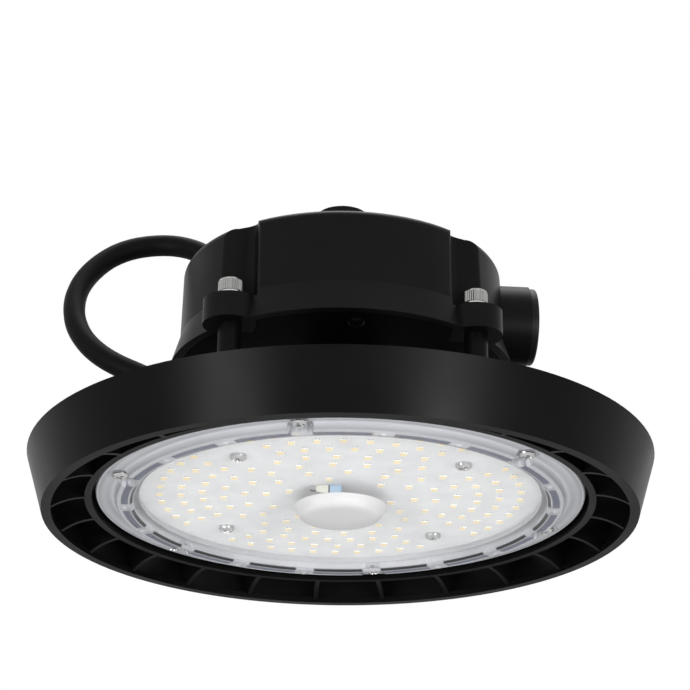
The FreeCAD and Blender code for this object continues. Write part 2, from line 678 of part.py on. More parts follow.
def make_small_screws():
    """The lens, board and base plate screws: pan heads with a socket, seated on their heads."""
    screw = new_body("small_screw_pattern", is_piece=False)
    revolve(screw, "Screw", [[
        (0, S.small_socket_depth), (S.small_socket, S.small_socket_depth), (S.small_socket, 0),
        (S.small_head - S.small_crown, 0), (S.small_head, S.small_crown),
        (S.small_head, S.small_head_height),
        (S.small_shank, S.small_head_height),
        (S.small_shank, S.small_head_height + S.small_length),
        (0, S.small_head_height + S.small_length),
    ]])
    head = S.small_head_height.value
    group("lens_screws", screw,
          ring_of_places(S.lens_screw_circle.value, S.trough_floor.value - head, SCREW_STATIONS))
    group("board_screws", screw,
          ring_of_places(S.board_screw_circle.value, board_face.value - head, BOARD_SCREW_ANGLES))
    group("base_screws", screw,
          ring_of_places(S.base_screw_circle.value, S.housing_foot.value - head, [0, 90, 180, 270]))


def make_housing():
    """The die-cast driver housing with its lobes, ears, port boss, gland boss and hub."""
    body = new_body("driver_housing")
    waist_height = S.housing_foot + S.housing_flare
    roof_top = S.housing_shoulder + S.roof_rise
    roof_outer = S.housing_shoulder_radius - S.shoulder_round
    shell = revolve(body, "Shell", [[
        (0, S.housing_foot), (S.housing_foot_radius, S.housing_foot),
        (S.housing_waist_radius, waist_height), (S.housing_shoulder_radius, S.housing_shoulder),
        (roof_outer, S.housing_shoulder), (S.roof_inner_radius, roof_top), (S.hub_radius, roof_top),
        (S.hub_radius, S.hub_top), (0, S.hub_top),
    ]])
    far = 2 * S.housing_foot_radius
    notches = pocket(body, "Notches", [rectangle(sx * S.notch_x, sy * S.notch_y, sx * far, sy * far)
                                       for sx in (-1, 1) for sy in (-1, 1)],
                     roof_top - ear_top, height=ear_top)
    inside = round_edges(body, "NotchCorners", notches, S.notch_round, is_notch_corner)
    round_edges(body, "LobeCorners", inside, S.lobe_round, is_lobe_corner)
    draft = (S.housing_waist_radius - S.housing_shoulder_radius) / (S.housing_shoulder - waist_height)
    outside = S.housing_shoulder_radius + S.shoulder_round
    revolve(body, "ShoulderRound", [[
        Bend(S.housing_shoulder_radius + draft * S.shoulder_round,
             S.housing_shoulder - S.shoulder_round, S.shoulder_round),
        (roof_outer, S.housing_shoulder), (roof_outer, roof_top), (outside, roof_top),
        (outside, S.housing_shoulder - S.shoulder_round),
    ]], groove=True)
    pad(body, "Ears", [Circle(sx * half_pitch, sy * half_pitch, S.ear_radius)
                       for sx in (-1, 1) for sy in (-1, 1)], S.ear_thickness, height=S.housing_foot)
    port_root = S.housing_waist_radius - S.housing_wall * 2
    pad(body, "PortBoss", [Circle(0, S.port_height, S.port_radius)], S.port_reach - port_root,
        plane="YZ_Plane", height=port_root)
    pocket(body, "PortSeat", [Circle(0, S.port_height, S.plug_radius + S.fit_gap)],
           S.housing_foot_radius, plane="YZ_Plane", height=S.port_reach)
    tilted_pad(body, "GlandBoss", S.gland_boss_radius, S.gland_boss_height + S.gland_boss_root,
               -S.gland_boss_root)
    inner = S.housing_shoulder_radius - S.housing_wall
    ledge = S.housing_foot + S.rebate_depth
    ceiling = S.housing_shoulder - S.housing_wall
    pocket(body, "Cavity", [lobed_loop(inner, S.notch_x - S.housing_wall, S.notch_y - S.housing_wall)],
           ceiling - ledge, height=ledge)
    corner_x, corner_y = S.notch_x - S.housing_wall, S.notch_y - S.housing_wall
    vault_radius = root(corner_x * corner_x + corner_y * corner_y)
    hub_floor = S.hub_top - S.hook_depth - S.housing_wall
    revolve(body, "Vault", [[
        (0, ceiling - S.fit_gap), (vault_radius, ceiling - S.fit_gap), (vault_radius, ceiling),
        (S.hub_radius + 2 * S.housing_wall, roof_top - 1.5 * S.housing_wall),
        (S.hub_radius, hub_floor), (0, hub_floor),
    ]], groove=True)
    seat = inner + S.rebate_width
    pocket(body, "Rebate", [lobed_loop(seat, S.notch_x, S.notch_y)], S.rebate_depth,
           height=S.housing_foot)
    boss_radius = screw_hole + S.boss_wall
    boss = pad(body, "BaseBoss", [Circle(S.base_screw_circle, 0, boss_radius)],
               S.base_boss_height, height=ledge)
    around(body, "BaseBosses", [boss], 4)
    hole = pocket(body, "BaseHole", [Circle(S.base_screw_circle, 0, screw_hole)],
                  S.base_boss_height - 2 * S.boss_floor, height=ledge)
    around(body, "BaseHoles", [hole], 4)
    pocket(body, "EarHoles", [Circle(sx * half_pitch, sy * half_pitch, S.cap_shank + S.hole_clearance)
                              for sx in (-1, 1) for sy in (-1, 1)], S.ear_thickness + S.washer_thickness,
           height=S.housing_foot)
    pocket(body, "PortBore", [Circle(0, S.port_height, S.port_bore)],
           S.port_reach - inner + 2 * S.port_bore,
           plane="YZ_Plane", height=S.port_reach, up=False)
    pocket(body, "HookBore", [Circle(0, 0, S.hook_bore)], S.hook_depth, height=S.hub_top, up=False)
    bore = body.newObject("PartDesign::SubtractiveCylinder", "GlandBore")
    bore_start = 2 * S.gland_boss_root
    tilt_feature(body, bore, S.gland_thread_radius + S.thread_clearance,
                 S.gland_boss_height + bore_start, -bore_start)
    body.Tip = bore


def is_upright(edge):
    """Whether an edge is a straight upright one."""
    box = edge.BoundBox
    return box.ZLength > 5 and box.XLength < 0.05 and box.YLength < 0.05


def is_notch_corner(edge):
    """Whether an edge is the inner corner of a notch."""
    centre = edge.BoundBox.Center
    return is_upright(edge) and abs(abs(centre.x) - S.notch_x.value) < 0.1 \
        and abs(abs(centre.y) - S.notch_y.value) < 0.1


def is_lobe_corner(edge):
    """Whether an edge is the outer corner of a lobe, where a notch meets the wall."""
    box = edge.BoundBox
    centre = box.Center
    on_side = abs(abs(centre.x) - S.notch_x.value) < 0.1 or abs(abs(centre.y) - S.notch_y.value) < 0.1
    lobe_height = (S.housing_shoulder - ear_top).value
    return on_side and not is_notch_corner(edge) and box.ZLength > lobe_height / 2


def tilt_feature(body, feature, radius, height, start):
    """Size a cylinder and lay its axis along the tilted axis of the gland."""
    bind(feature, "Radius", radius)
    bind(feature, "Height", height)
    feature.AttachmentSupport = [(origin_feature(body, "XY_Plane"), "")]
    feature.MapMode = "FlatFace"
    start = as_size(start)
    feature.AttachmentOffset = FreeCAD.Placement(VECTOR(), FreeCAD.Rotation(VECTOR(0, -1, 0), 1))
    bind(feature, ".AttachmentOffset.Rotation.Angle", S.gland_tilt)
    bind(feature, ".AttachmentOffset.Base.x", S.gland_x - start * sine(S.gland_tilt))
    bind(feature, ".AttachmentOffset.Base.y", S.gland_y)
    bind(feature, ".AttachmentOffset.Base.z", S.gland_foot + start * cosine(S.gland_tilt))


def tilted_pad(body, name, radius, height, start):
    """A round boss along the tilted axis of the gland."""
    boss = body.newObject("PartDesign::AdditiveCylinder", name)
    tilt_feature(body, boss, radius, height, start)
    return boss


def on_gland_axis(body, start):
    """Place a body on the gland's axis, at a distance from the root of its boss."""
    start = as_size(start)
    body.Placement = FreeCAD.Placement(VECTOR(), FreeCAD.Rotation(VECTOR(0, -1, 0), 1))
    bind(body, ".Placement.Rotation.Angle", S.gland_tilt)
    place_body(body, S.gland_x - start * sine(S.gland_tilt), S.gland_y,
               S.gland_foot + start * cosine(S.gland_tilt))


def hexagon(flats):
    """A hexagonal loop, half its width across the flats given."""
    reach = flats / math.cos(math.radians(30))
    return [(reach * math.cos(math.radians(60 * k)), reach * math.sin(math.radians(60 * k)))
            for k in range(6)]


def make_gland():
    """The cable gland: threaded body, seal and nut."""
    body = new_body("gland_body")
    pad(body, "Hexagon", [hexagon(S.gland_flats), Circle(0, 0, S.lead_radius + S.fit_gap)],
        S.gland_body_height)
    pad(body, "Neck", [Circle(0, 0, S.gland_neck_radius),
                       Circle(0, 0, S.lead_radius + S.gland_neck_gap)],
        S.gland_neck_height, height=S.gland_body_height)
    pad(body, "Thread", [Circle(0, 0, S.gland_thread_radius), Circle(0, 0, S.lead_radius + S.fit_gap)],
        S.gland_thread_length, back=True)
    on_gland_axis(body, S.gland_boss_height)

    nut = new_body("gland_nut")
    nut_foot = S.gland_body_height
    bore = S.gland_neck_radius + S.thread_clearance
    pad(nut, "Nut", [hexagon(S.gland_nut_flats), Circle(0, 0, bore)],
        S.gland_nut_height - S.gland_nut_wall, height=nut_foot)
    pad(nut, "End", [Circle(0, 0, S.gland_nut_radius), Circle(0, 0, S.lead_radius + S.fit_gap)],
        S.gland_nut_wall, height=nut_foot + S.gland_nut_height - S.gland_nut_wall)
    on_gland_axis(nut, S.gland_boss_height)

    seal = new_body("gland_seal")
    seal_foot = S.gland_body_height + S.gland_neck_height
    pad(seal, "Seal", [Circle(0, 0, S.gland_neck_radius),
                       Circle(0, 0, S.lead_radius + S.thread_clearance)],
        S.gland_nut_height - S.gland_nut_wall - S.gland_neck_height, height=seal_foot)
    on_gland_axis(seal, S.gland_boss_height)


def make_base_plate():
    """The base plate that closes the housing, its gasket and the seal of the wire duct."""
    inner = S.housing_shoulder_radius - S.housing_wall
    reach = inner + S.rebate_width - S.fit_gap
    half_x, half_y = S.notch_x - S.fit_gap, S.notch_y - S.fit_gap
    plate = new_body("base_plate")
    collar_bore = S.duct_radius + S.ring_section * 2 + S.fit_gap
    thickness = base_plate_top - S.housing_foot
    base_holes = [Circle(x * S.base_screw_circle, y * S.base_screw_circle, clear_hole)
                  for x, y in ((1, 0), (0, 1), (-1, 0), (0, -1))]
    pad(plate, "Plate", [lobed_loop(reach, half_x, half_y), Circle(0, 0, S.duct_bore)] + base_holes,
        thickness, height=S.housing_foot)
    pad(plate, "Collar", [Circle(0, 0, collar_bore + S.collar_wall), Circle(0, 0, collar_bore)],
        S.collar_height, height=S.housing_foot, back=True)
    pillars = [(sx * S.pillar_x, sy * S.pillar_y) for sx in (-1, 1) for sy in (-1, 1)]
    pad(plate, "Pillars", [Circle(x, y, S.pillar_radius) for x, y in pillars],
        S.driver_board_height - base_plate_top, height=base_plate_top)
    pocket(plate, "PillarHoles", [Circle(x, y, S.board_screw_shank + S.thread_clearance)
                                  for x, y in pillars],
           S.board_screw_grip + S.run_out, height=S.driver_board_height, up=False)

    gasket = new_body("base_gasket")
    pad(gasket, "Gasket", [lobed_loop(reach, half_x, half_y),
                           lobed_loop(inner + S.fit_gap, S.notch_x - S.housing_wall + S.fit_gap,
                                      S.notch_y - S.housing_wall + S.fit_gap)],
        S.base_gasket_thickness, height=base_plate_top)

    seal = new_body("duct_seal")
    pad(seal, "Seal", [Circle(0, 0, collar_bore - S.fit_gap), Circle(0, 0, S.duct_bore)],
        S.housing_foot - S.duct_top, height=S.duct_top)


def make_mounting_screws():
    """The four cap screws that hold the housing on its posts, with their washers."""
    screw = new_body("cap_screw_pattern", is_piece=False)
    length = cap_seat - S.housing_foot + S.cap_grip
    revolve(screw, "Screw", [[
        (0, 0), (S.cap_shank - S.cap_point, 0), (S.cap_shank, S.cap_point), (S.cap_shank, length),
        (S.cap_head, length), (S.cap_head, length + S.cap_head_height - S.cap_bevel),
        (S.cap_head - S.cap_bevel, length + S.cap_head_height), (0, length + S.cap_head_height),
    ]])
    socket_flats = S.cap_socket * math.cos(math.radians(30))
    pocket(screw, "Socket", [hexagon(socket_flats)], S.cap_socket_depth,
           height=length + S.cap_head_height, up=False)
    half = half_pitch.value
    group("mounting_screws", screw,
          corner_places(half, half, (S.housing_foot - S.cap_grip).value))

    washer = new_body("washer_pattern", is_piece=False)
    pad(washer, "Washer", [Circle(0, 0, S.washer_radius), Circle(0, 0, S.cap_shank + S.hole_clearance)],
        S.washer_thickness)
    group("flat_washers", washer, corner_places(half, half, ear_top.value))

    spring = new_body("spring_washer_pattern", is_piece=False)
    gap = S.washer_thickness / 3
    pad(spring, "Coil", [Circle(0, 0, S.cap_head), Circle(0, 0, S.cap_shank + S.hole_clearance)],
        S.washer_thickness)
    pocket(spring, "Split", [rectangle(0, -gap, 2 * S.cap_head, gap)], S.washer_thickness)
    group("spring_washers", spring, corner_places(half, half, (ear_top + S.washer_thickness).value))


def make_port_plug():
    """The plug of the control port and its sealing ring."""
    plug = new_body("port_plug")
    cap = pad(plug, "Cap", [Circle(0, S.port_height, S.plug_radius)], S.plug_thickness,
              plane="YZ_Plane", height=S.port_reach)
    round_edges(plug, "CapEdge", cap, S.plug_thickness / 3,
                lambda edge: edge.BoundBox.XMin > (S.port_reach + S.plug_thickness).value - 0.01)
    neck = S.port_bore - S.ring_section
    pad(plug, "Neck", [Circle(0, S.port_height, neck)], S.plug_depth, plane="YZ_Plane",
        height=S.port_reach, back=True)
    pocket(plug, "Hollow", [Circle(0, S.port_height, neck - S.plug_wall)], S.plug_depth - S.plug_floor,
           plane="YZ_Plane", height=S.port_reach - S.plug_depth)
    ring = new_body("port_ring")
    pad(ring, "Ring", [Circle(0, S.port_height, S.port_bore - S.thread_clearance / 2),
                       Circle(0, S.port_height, neck + S.thread_clearance / 2)],
        S.ring_section * 2, plane="YZ_Plane", height=S.port_reach - S.ring_section * 3)


def make_driver():
    """The driver inside the housing: its board, its screws and its larger parts."""
    board = new_body("driver_board")
    half_x, half_y = S.driver_board_length / 2, S.driver_board_width / 2
    pillars = [(sx * S.pillar_x, sy * S.pillar_y) for sx in (-1, 1) for sy in (-1, 1)]
    pad(board, "Board", [rectangle(-half_x, -half_y, half_x, half_y)]
        + [Circle(x, y, S.board_screw_shank + S.hole_clearance) for x, y in pillars],
        S.driver_board_thickness, height=S.driver_board_height)
    top = S.driver_board_height + S.driver_board_thickness

    screw = new_body("board_screw_pattern", is_piece=False)
    seat = S.board_screw_grip + S.driver_board_thickness
    crown = seat + S.board_screw_head_height
    revolve(screw, "Screw", [[
        (0, 0), (S.board_screw_shank, 0), (S.board_screw_shank, seat), (S.board_screw_head, seat),
        (S.board_screw_head, crown), (0, crown),
    ]])
    foot = (S.driver_board_height - S.board_screw_grip).value
    group("driver_board_screws", screw, corner_places(S.pillar_x.value, S.pillar_y.value, foot))

    transformer = new_body("transformer")
    core_x, core_y = S.transformer_length / 2, S.transformer_width / 2
    pad(transformer, "Core", [rectangle(-core_x, -core_y, core_x, core_y)],
        S.transformer_height, height=top)
    low, high = top + S.transformer_limb, top + S.transformer_height - S.transformer_limb
    inner = core_x - S.transformer_inset
    pocket(transformer, "Recesses", [rectangle(side * inner, low, side * 2 * core_x, high)
                                     for side in (-1, 1)],
           S.transformer_width * 2, plane="XZ_Plane", height=-S.transformer_width)

    capacitor = new_body("capacitor_pattern", is_piece=False)
    pad(capacitor, "Can", [Circle(0, 0, S.capacitor_radius)], S.capacitor_height)
    group("capacitors", capacitor, [
        FreeCAD.Placement(VECTOR(x.value, y.value, top.value), FreeCAD.Rotation())
        for x, y in ((S.capacitor_x, S.capacitor_y - S.capacitor_pitch),
                     (S.capacitor_x, S.capacitor_y), (-S.capacitor_x, S.capacitor_far_y))])
    choke = new_body("choke")
    pad(choke, "Winding", [Circle(S.choke_x, S.choke_y, S.choke_radius),
                           Circle(S.choke_x, S.choke_y, S.choke_bore)],
        S.choke_height, height=top)
    line = new_body("line_terminal")
    reach_x, reach_y = S.line_terminal_length / 2, S.line_terminal_width / 2
    pad(line, "Block", [rectangle(S.line_terminal_x - reach_x, S.line_terminal_y - reach_y,
                                  S.line_terminal_x + reach_x, S.line_terminal_y + reach_y)],
        S.line_terminal_width, height=top)


def gland_point(distance):
    """A point on the gland's axis, at a distance from the root of its boss."""
    tilt = math.radians(S.gland_tilt.value)
    return VECTOR(S.gland_x.value - distance * math.sin(tilt), S.gland_y.value,
                  S.gland_foot.value + distance * math.cos(tilt))


def lead_path(points):
    """Straight runs joined by tangent arcs, each arc as large as its two runs allow."""
    edges, start = [], points[0]
    for before, corner, after in zip(points, points[1:], points[2:]):
        back, ahead = before - corner, after - corner
        reach = ARC_SHARE * min(back.Length, ahead.Length)
        half_turn = (math.pi - back.getAngle(ahead)) / 2
        radius = reach / math.tan(half_turn)
        print(f"lead: turn {math.degrees(2 * half_turn):.0f} degrees, radius {radius:.1f} mm")
        first = corner + VECTOR(back).normalize() * reach
        last = corner + VECTOR(ahead).normalize() * reach
        inward = (VECTOR(back).normalize() + VECTOR(ahead).normalize()).normalize()
        crown = corner + inward * (radius / math.cos(half_turn) - radius)
        edges.append(Part.LineSegment(start, first).toShape())
        edges.append(Part.Arc(first, crown, last).toShape())
        start = last
    edges.append(Part.LineSegment(start, points[-1]).toShape())
    return Part.Wire(edges)


def make_lead():
    """The mains lead from the mouth of the gland to its bare end, and its stripped cores."""
    mouth = gland_point((S.gland_boss_height + S.gland_body_height + S.gland_nut_height).value)
    points = [mouth] + [VECTOR(*place) for place in LEAD_ROUTE]
    path = lead_path(points)
    radius = S.lead_radius.value
    ring = Part.Wire([Part.Circle(mouth, points[1] - mouth, radius).toShape()])
    tube = path.makePipeShell([ring], True, False)
    print(f"lead: length {path.Length:.1f} mm, volume over section times length "
          f"{tube.Volume / (math.pi * radius ** 2 * path.Length):.4f}")
    node = doc.addObject("Part::Feature", "power_cord")
    node.Label = "power_cord"
    node.Shape = tube
    PIECES.append(node)

    core = new_body("core_pattern", is_piece=False)
    pad(core, "Core", [Circle(0, 0, S.core_radius)], S.core_length)
    along = (points[-1] - points[-2]).normalize()
    spin = FreeCAD.Rotation(VECTOR(0, 0, 1), along)
    offset = 1.1 * S.core_radius.value / math.sin(math.radians(60))
    places = [FreeCAD.Placement(
        points[-1] + spin.multVec(VECTOR(offset * math.cos(math.radians(angle)),
                                         offset * math.sin(math.radians(angle)), 0)), spin)
        for angle in (90, 210, 330)]
    group("cord_cores", core, places)


def make_leads():
    """The inner wires: the pair that feeds the light board through the duct."""
    radius = S.wire_radius.value
    terminal_back = (S.terminal_offset_y + S.terminal_width / 2).value
    driver_foot = S.driver_board_height.value
    level = wire_height.value
    solids = []
    for side in (-1, 1):
        start = VECTOR((S.terminal_offset_x + side * S.terminal_length / 4).value, terminal_back, level)
        lane = side * WIRE_LANE
        solids.append(wire_solid([start, VECTOR(start.x, start.y / 2, level),
                                  VECTOR(lane, 0, level), VECTOR(lane, 0, driver_foot)], radius))
    node = doc.addObject("Part::Feature", "board_leads")
    node.Label = "board_leads"
    node.Shape = Part.Compound(solids)
    PIECES.append(node)


def wire_solid(points, radius):
    """One inner wire along its route."""
    ring = Part.Wire([Part.Circle(points[0], points[1] - points[0], radius).toShape()])
    return lead_path(points).makePipeShell([ring], True, False)


make_heat_sink()
make_light_board()
make_lens()
make_small_screws()
make_housing()
make_base_plate()
make_mounting_screws()
make_port_plug()
make_gland()
make_driver()
make_lead()
make_leads()


def check_and_write():
    """Stop on a failed object or a bad shape, then write each piece."""
    doc.recompute()
    failed = [f"{thing.Label}: {thing.State}" for thing in doc.Objects
              if "Invalid" in thing.State or "Error" in thing.State]
    if failed:
        raise RuntimeError("; ".join(failed))
    os.makedirs("parts", exist_ok=True)
    for piece in PIECES:
        shape = piece.Shape
        if shape.isNull() or not shape.isValid() or not shape.Solids:
            raise RuntimeError(f"{piece.Label}: bad shape")
        shape.exportStep(f"parts/{piece.Label}.step")
        print(f"{piece.Label}: {len(shape.Solids)} solid, {shape.Volume / 1000:.2f} cm3, "
              f"box {shape.BoundBox.XLength:.1f} x {shape.BoundBox.YLength:.1f} x "
              f"{shape.BoundBox.ZLength:.1f}, z {shape.BoundBox.ZMin:.2f} to {shape.BoundBox.ZMax:.2f}")


check_and_write()
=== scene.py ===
"""Looks of a round high bay light: finishes, fine pieces, studio light and camera.

The frame stays as it is loaded, in metres: +Z up, the lens facing down, the origin at the centre
of the rim. This file gives every piece its finish, and adds the pieces that are finer than the
frame holds them. Sizes in it are in millimetres and angles in degrees, unless a class says
otherwise.
"""
import logging
import math
from dataclasses import dataclass
from enum import Enum

import bmesh
import bpy
import numpy as np
from mathutils import Matrix, Vector


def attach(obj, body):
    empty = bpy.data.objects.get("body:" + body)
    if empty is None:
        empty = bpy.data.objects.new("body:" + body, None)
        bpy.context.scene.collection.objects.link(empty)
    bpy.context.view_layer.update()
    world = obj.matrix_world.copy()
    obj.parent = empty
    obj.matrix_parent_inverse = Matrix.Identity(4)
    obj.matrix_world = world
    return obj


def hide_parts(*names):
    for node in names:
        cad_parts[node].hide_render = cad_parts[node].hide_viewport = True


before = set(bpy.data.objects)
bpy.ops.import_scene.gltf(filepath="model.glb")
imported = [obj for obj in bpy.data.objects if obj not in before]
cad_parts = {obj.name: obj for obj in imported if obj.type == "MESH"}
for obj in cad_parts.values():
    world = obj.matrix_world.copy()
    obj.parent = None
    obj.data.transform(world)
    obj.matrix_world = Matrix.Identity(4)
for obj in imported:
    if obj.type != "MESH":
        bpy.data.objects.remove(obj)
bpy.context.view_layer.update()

log = logging.getLogger("high_bay_light")

MM = 0.001
WELD = 1e-6
SLIVER = 1e-7
NOISE_LOW, NOISE_HIGH = 0.3, 0.7
PLASTIC_IOR = 1.5
STATIONS = 18
STATION_PITCH = 360.0 / STATIONS
FIRST_STATION = 15.0

Pair = tuple[float, float]
Colour = tuple[float, float, float]
Socket = tuple[bpy.types.Node, str | int]
Grid = tuple[np.ndarray, np.ndarray, np.ndarray]


def grey(level: float) -> Colour:
    """A neutral colour of one level."""
    return (level, level, level)


def shade(colour: Colour, share: float) -> Colour:
    """A colour made darker or lighter by a share, up to white."""
    return tuple(min(1.0, share * level) for level in colour)


# Surfaces: a shape is a function on a grid of two parameters


def add_grid(name: str, xyz: Grid, closed: bool = False) -> bpy.types.Mesh:
    """Puts a grid of points into a mesh of quads.

    Args:
        name: name of the mesh.
        xyz: three arrays of one shape, the coordinates in millimetres.
        closed: whether the second parameter closes on itself.

    Returns:
        The mesh, in metres.
    """
    rows, columns = xyz[0].shape
    points = np.stack(xyz, axis=-1).reshape(-1, 3) * MM
    index = np.arange(rows * columns).reshape(rows, columns)
    if closed:
        index = np.hstack([index, index[:, :1]])
    quads = np.stack([index[:-1, :-1], index[1:, :-1], index[1:, 1:], index[:-1, 1:]], axis=-1)
    mesh = bpy.data.meshes.new(name)
    mesh.from_pydata(points.tolist(), [], quads.reshape(-1, 4).tolist())
    return mesh


def merge(mesh: bpy.types.Mesh, smooth: bool = False) -> None:
    """Merges doubled points of a mesh, turns its faces outwards and shades it smooth if asked."""
    work = bmesh.new()
    work.from_mesh(mesh)
    bmesh.ops.remove_doubles(work, verts=work.verts, dist=WELD)
    bmesh.ops.dissolve_degenerate(work, edges=work.edges, dist=SLIVER)
    bmesh.ops.recalc_face_normals(work, faces=work.faces)
    work.to_mesh(mesh)
    work.free()
    mesh.polygons.foreach_set("use_smooth", np.full(len(mesh.polygons), smooth))


def ease(low: float, high: float, value: np.ndarray) -> np.ndarray:
    """The smooth step 3 t squared less 2 t cubed, where t runs from 0 at low to 1 at high."""
    t = np.clip((value - low) / (high - low), 0.0, 1.0)
    return t * t * (3.0 - 2.0 * t)


def copies(name: str, xyz: Grid, places: np.ndarray) -> bpy.types.Mesh:
    """Puts one turned grid at several places: each copy is turned about Z and then shifted.

    Args:
        name: name of the mesh.
        xyz: the grid about its own axis, closed along its second parameter.
        places: rows of x, y, z and turn in degrees.

    Returns:
        The merged mesh.
    """
    rows, columns = xyz[0].shape
    turn = np.radians(places[:, 3])[:, None, None]
    x = xyz[0] * np.cos(turn) - xyz[1] * np.sin(turn) + places[:, 0, None, None]
    y = xyz[0] * np.sin(turn) + xyz[1] * np.cos(turn) + places[:, 1, None, None]
    z = xyz[2] + places[:, 2, None, None]
    points = np.stack([x, y, z], axis=-1).reshape(-1, 3) * MM
    index = np.arange(len(places) * rows * columns).reshape(len(places), rows, columns)
    beside = np.roll(index, -1, axis=2)
    quads = np.stack([index[:, :-1], index[:, 1:], beside[:, 1:], beside[:, :-1]], axis=-1)
    mesh = bpy.data.meshes.new(name)
    mesh.from_pydata(points.tolist(), [], quads.reshape(-1, 4).tolist())
    merge(mesh)
    return mesh


# Finishes: each makes one procedural material


class Nodes:
    """A material's node tree with short ways to add and join nodes."""

    def __init__(self, name: str) -> None:
        """Starts an empty material of that name."""
        self.material = bpy.data.materials.new(name)
        self.material.use_nodes = True
        self.tree = self.material.node_tree
        self.tree.nodes.clear()
        self.output = self.tree.nodes.new("ShaderNodeOutputMaterial")
        self.shader = self.tree.nodes.new("ShaderNodeBsdfPrincipled")
        self.join(self.shader, "BSDF", self.output, "Surface")
        self.coordinates = self.tree.nodes.new("ShaderNodeTexCoord")

    def add(self, kind: str, **values: object) -> bpy.types.Node:
        """Adds a node, with properties by name and socket values by their name with underscores."""
        node = self.tree.nodes.new(kind)
        for key, value in values.items():
            if hasattr(node, key):
                setattr(node, key, value)
            else:
                node.inputs[key.replace("_", " ")].default_value = value
        return node

    def join(self, source: bpy.types.Node, out: str | int, target: bpy.types.Node,
             into: str | int) -> None:
        """Joins an output of one node to an input of another."""
        self.tree.links.new(source.outputs[out], target.inputs[into])

    def set(self, **values: object) -> None:
        """Sets values on the shader's own sockets."""
        for key, value in values.items():
            self.shader.inputs[key.replace("_", " ")].default_value = value

    def noise(self, scale: float, detail: float = 3.0, roughness: float = 0.55) -> bpy.types.Node:
        """A noise on Object coordinates; scale is in cells a metre."""
        node = self.add("ShaderNodeTexNoise", Scale=scale, Detail=detail, Roughness=roughness)
        self.join(self.coordinates, "Object", node, "Vector")
        return node

    def ramp(self, source: bpy.types.Node, out: str | int,
             stops: list[tuple[float, Colour]]) -> bpy.types.Node:
        """Turns a value into a colour through a few stops."""
        node = self.add("ShaderNodeValToRGB")
        elements = node.color_ramp.elements
        while len(elements) < len(stops):
            elements.new(0.5)
        for element, (position, colour) in zip(elements, stops):
            element.position = position
            element.color = (*colour, 1.0)
        self.join(source, out, node, "Fac")
        return node

    def span(self, source: bpy.types.Node, out: str | int, low: float, high: float,
             from_low: float = NOISE_LOW, from_high: float = NOISE_HIGH) -> bpy.types.Node:
        """Maps a value from one range to another."""
        node = self.add("ShaderNodeMapRange")
        for key, value in (("From Min", from_low), ("From Max", from_high),
                           ("To Min", low), ("To Max", high)):
            node.inputs[key].default_value = value
        self.join(source, out, node, "Value")
        return node

    def calculate(self, kind: str, first: Socket, second: Socket | float = 0.0) -> Socket:
        """Works out a sum of that kind on an output and a second output or a number."""
        node = self.add("ShaderNodeMath", operation=kind)
        self.join(*first, node, 0)
        if isinstance(second, tuple):
            self.join(*second, node, 1)
        else:
            node.inputs[1].default_value = second
        return node, 0

    def blend(self, factor: Socket, first: Socket, second: Colour) -> Socket:
        """Mixes a colour output with a plain colour by a factor."""
        node = self.add("ShaderNodeMix", data_type="RGBA")
        self.join(*factor, node, 0)
        self.join(*first, node, 6)
        node.inputs[7].default_value = (*second, 1.0)
        return node, 2

    def tint(self, noise: bpy.types.Node, dark: Colour, light: Colour) -> None:
        """Lets the base colour wander between two colours with a noise."""
        ramp = self.ramp(noise, "Fac", [(NOISE_LOW, dark), (NOISE_HIGH, light)])
        self.join(ramp, "Color", self.shader, "Base Color")

    def vary(self, noise: bpy.types.Node, socket: str, low: float, high: float) -> None:
        """Lets a value of the shader wander between two values with a noise."""
        self.join(self.span(noise, "Fac", low, high), "Result", self.shader, socket)

    def bump(self, noise: bpy.types.Node, depth: float, strength: float = 1.0) -> None:
        """Adds a bump of that depth in millimetres to the shader."""
        node = self.add("ShaderNodeBump", Strength=strength)
        node.inputs["Distance"].default_value = depth * MM
        self.join(noise, "Fac", node, "Height")
        self.join(node, "Normal", self.shader, "Normal")


@dataclass(frozen=True)
class PowderCoat:
    """A fine-grained powder coat with faint cloudiness and a soft sheen.

    Scales are in cells a metre. Tones are the shares of the colour, and wander is what is added
    to the roughness, where the clouds are darkest and lightest. Grain is the surface's depth.
    """

    name: str
    colour: Colour
    roughness: float = 0.5
    gloss: float = 0.12
    grain: float = 0.03
    grain_scale: float = 1700.0
    cloud_scale: float = 24.0
    tones: Pair = (0.86, 1.16)
    wander: Pair = (-0.04, 0.05)

    def make(self) -> bpy.types.Material:
        """Returns the material."""
        n = Nodes(self.name)
        cloud = n.noise(self.cloud_scale)
        n.tint(cloud, *(shade(self.colour, tone) for tone in self.tones))
        n.vary(cloud, "Roughness", *(self.roughness + more for more in self.wander))
        n.bump(n.noise(self.grain_scale, roughness=0.6), self.grain, strength=0.7)
        n.set(Specular_IOR_Level=self.gloss)
        return n.material


@dataclass(frozen=True)
class Metal:
    """Bare or plated metal with fine turning or brushing marks.

    The streak gives the marks' scale along X, Y and Z in cells a metre. Tones are the shares of
    the colour, and wander is what is added to the roughness, in the marks and between them.
    """

    name: str
    colour: Colour
    roughness: float = 0.28
    streak: tuple[float, float, float] = (500.0, 500.0, 2500.0)
    depth: float = 0.01
    tones: Pair = (0.82, 1.0)
    wander: Pair = (-0.06, 0.1)

    def make(self) -> bpy.types.Material:
        """Returns the material."""
        n = Nodes(self.name)
        n.set(Metallic=1.0)
        mapping = n.add("ShaderNodeMapping", Scale=self.streak)
        n.join(n.coordinates, "Object", mapping, "Vector")
        streaks = n.add("ShaderNodeTexNoise", Scale=1.0, Detail=3.0)
        n.join(mapping, "Vector", streaks, "Vector")
        n.tint(streaks, *(shade(self.colour, tone) for tone in self.tones))
        n.vary(streaks, "Roughness", *(self.roughness + more for more in self.wander))
        n.bump(streaks, self.depth, strength=0.3)
        return n.material


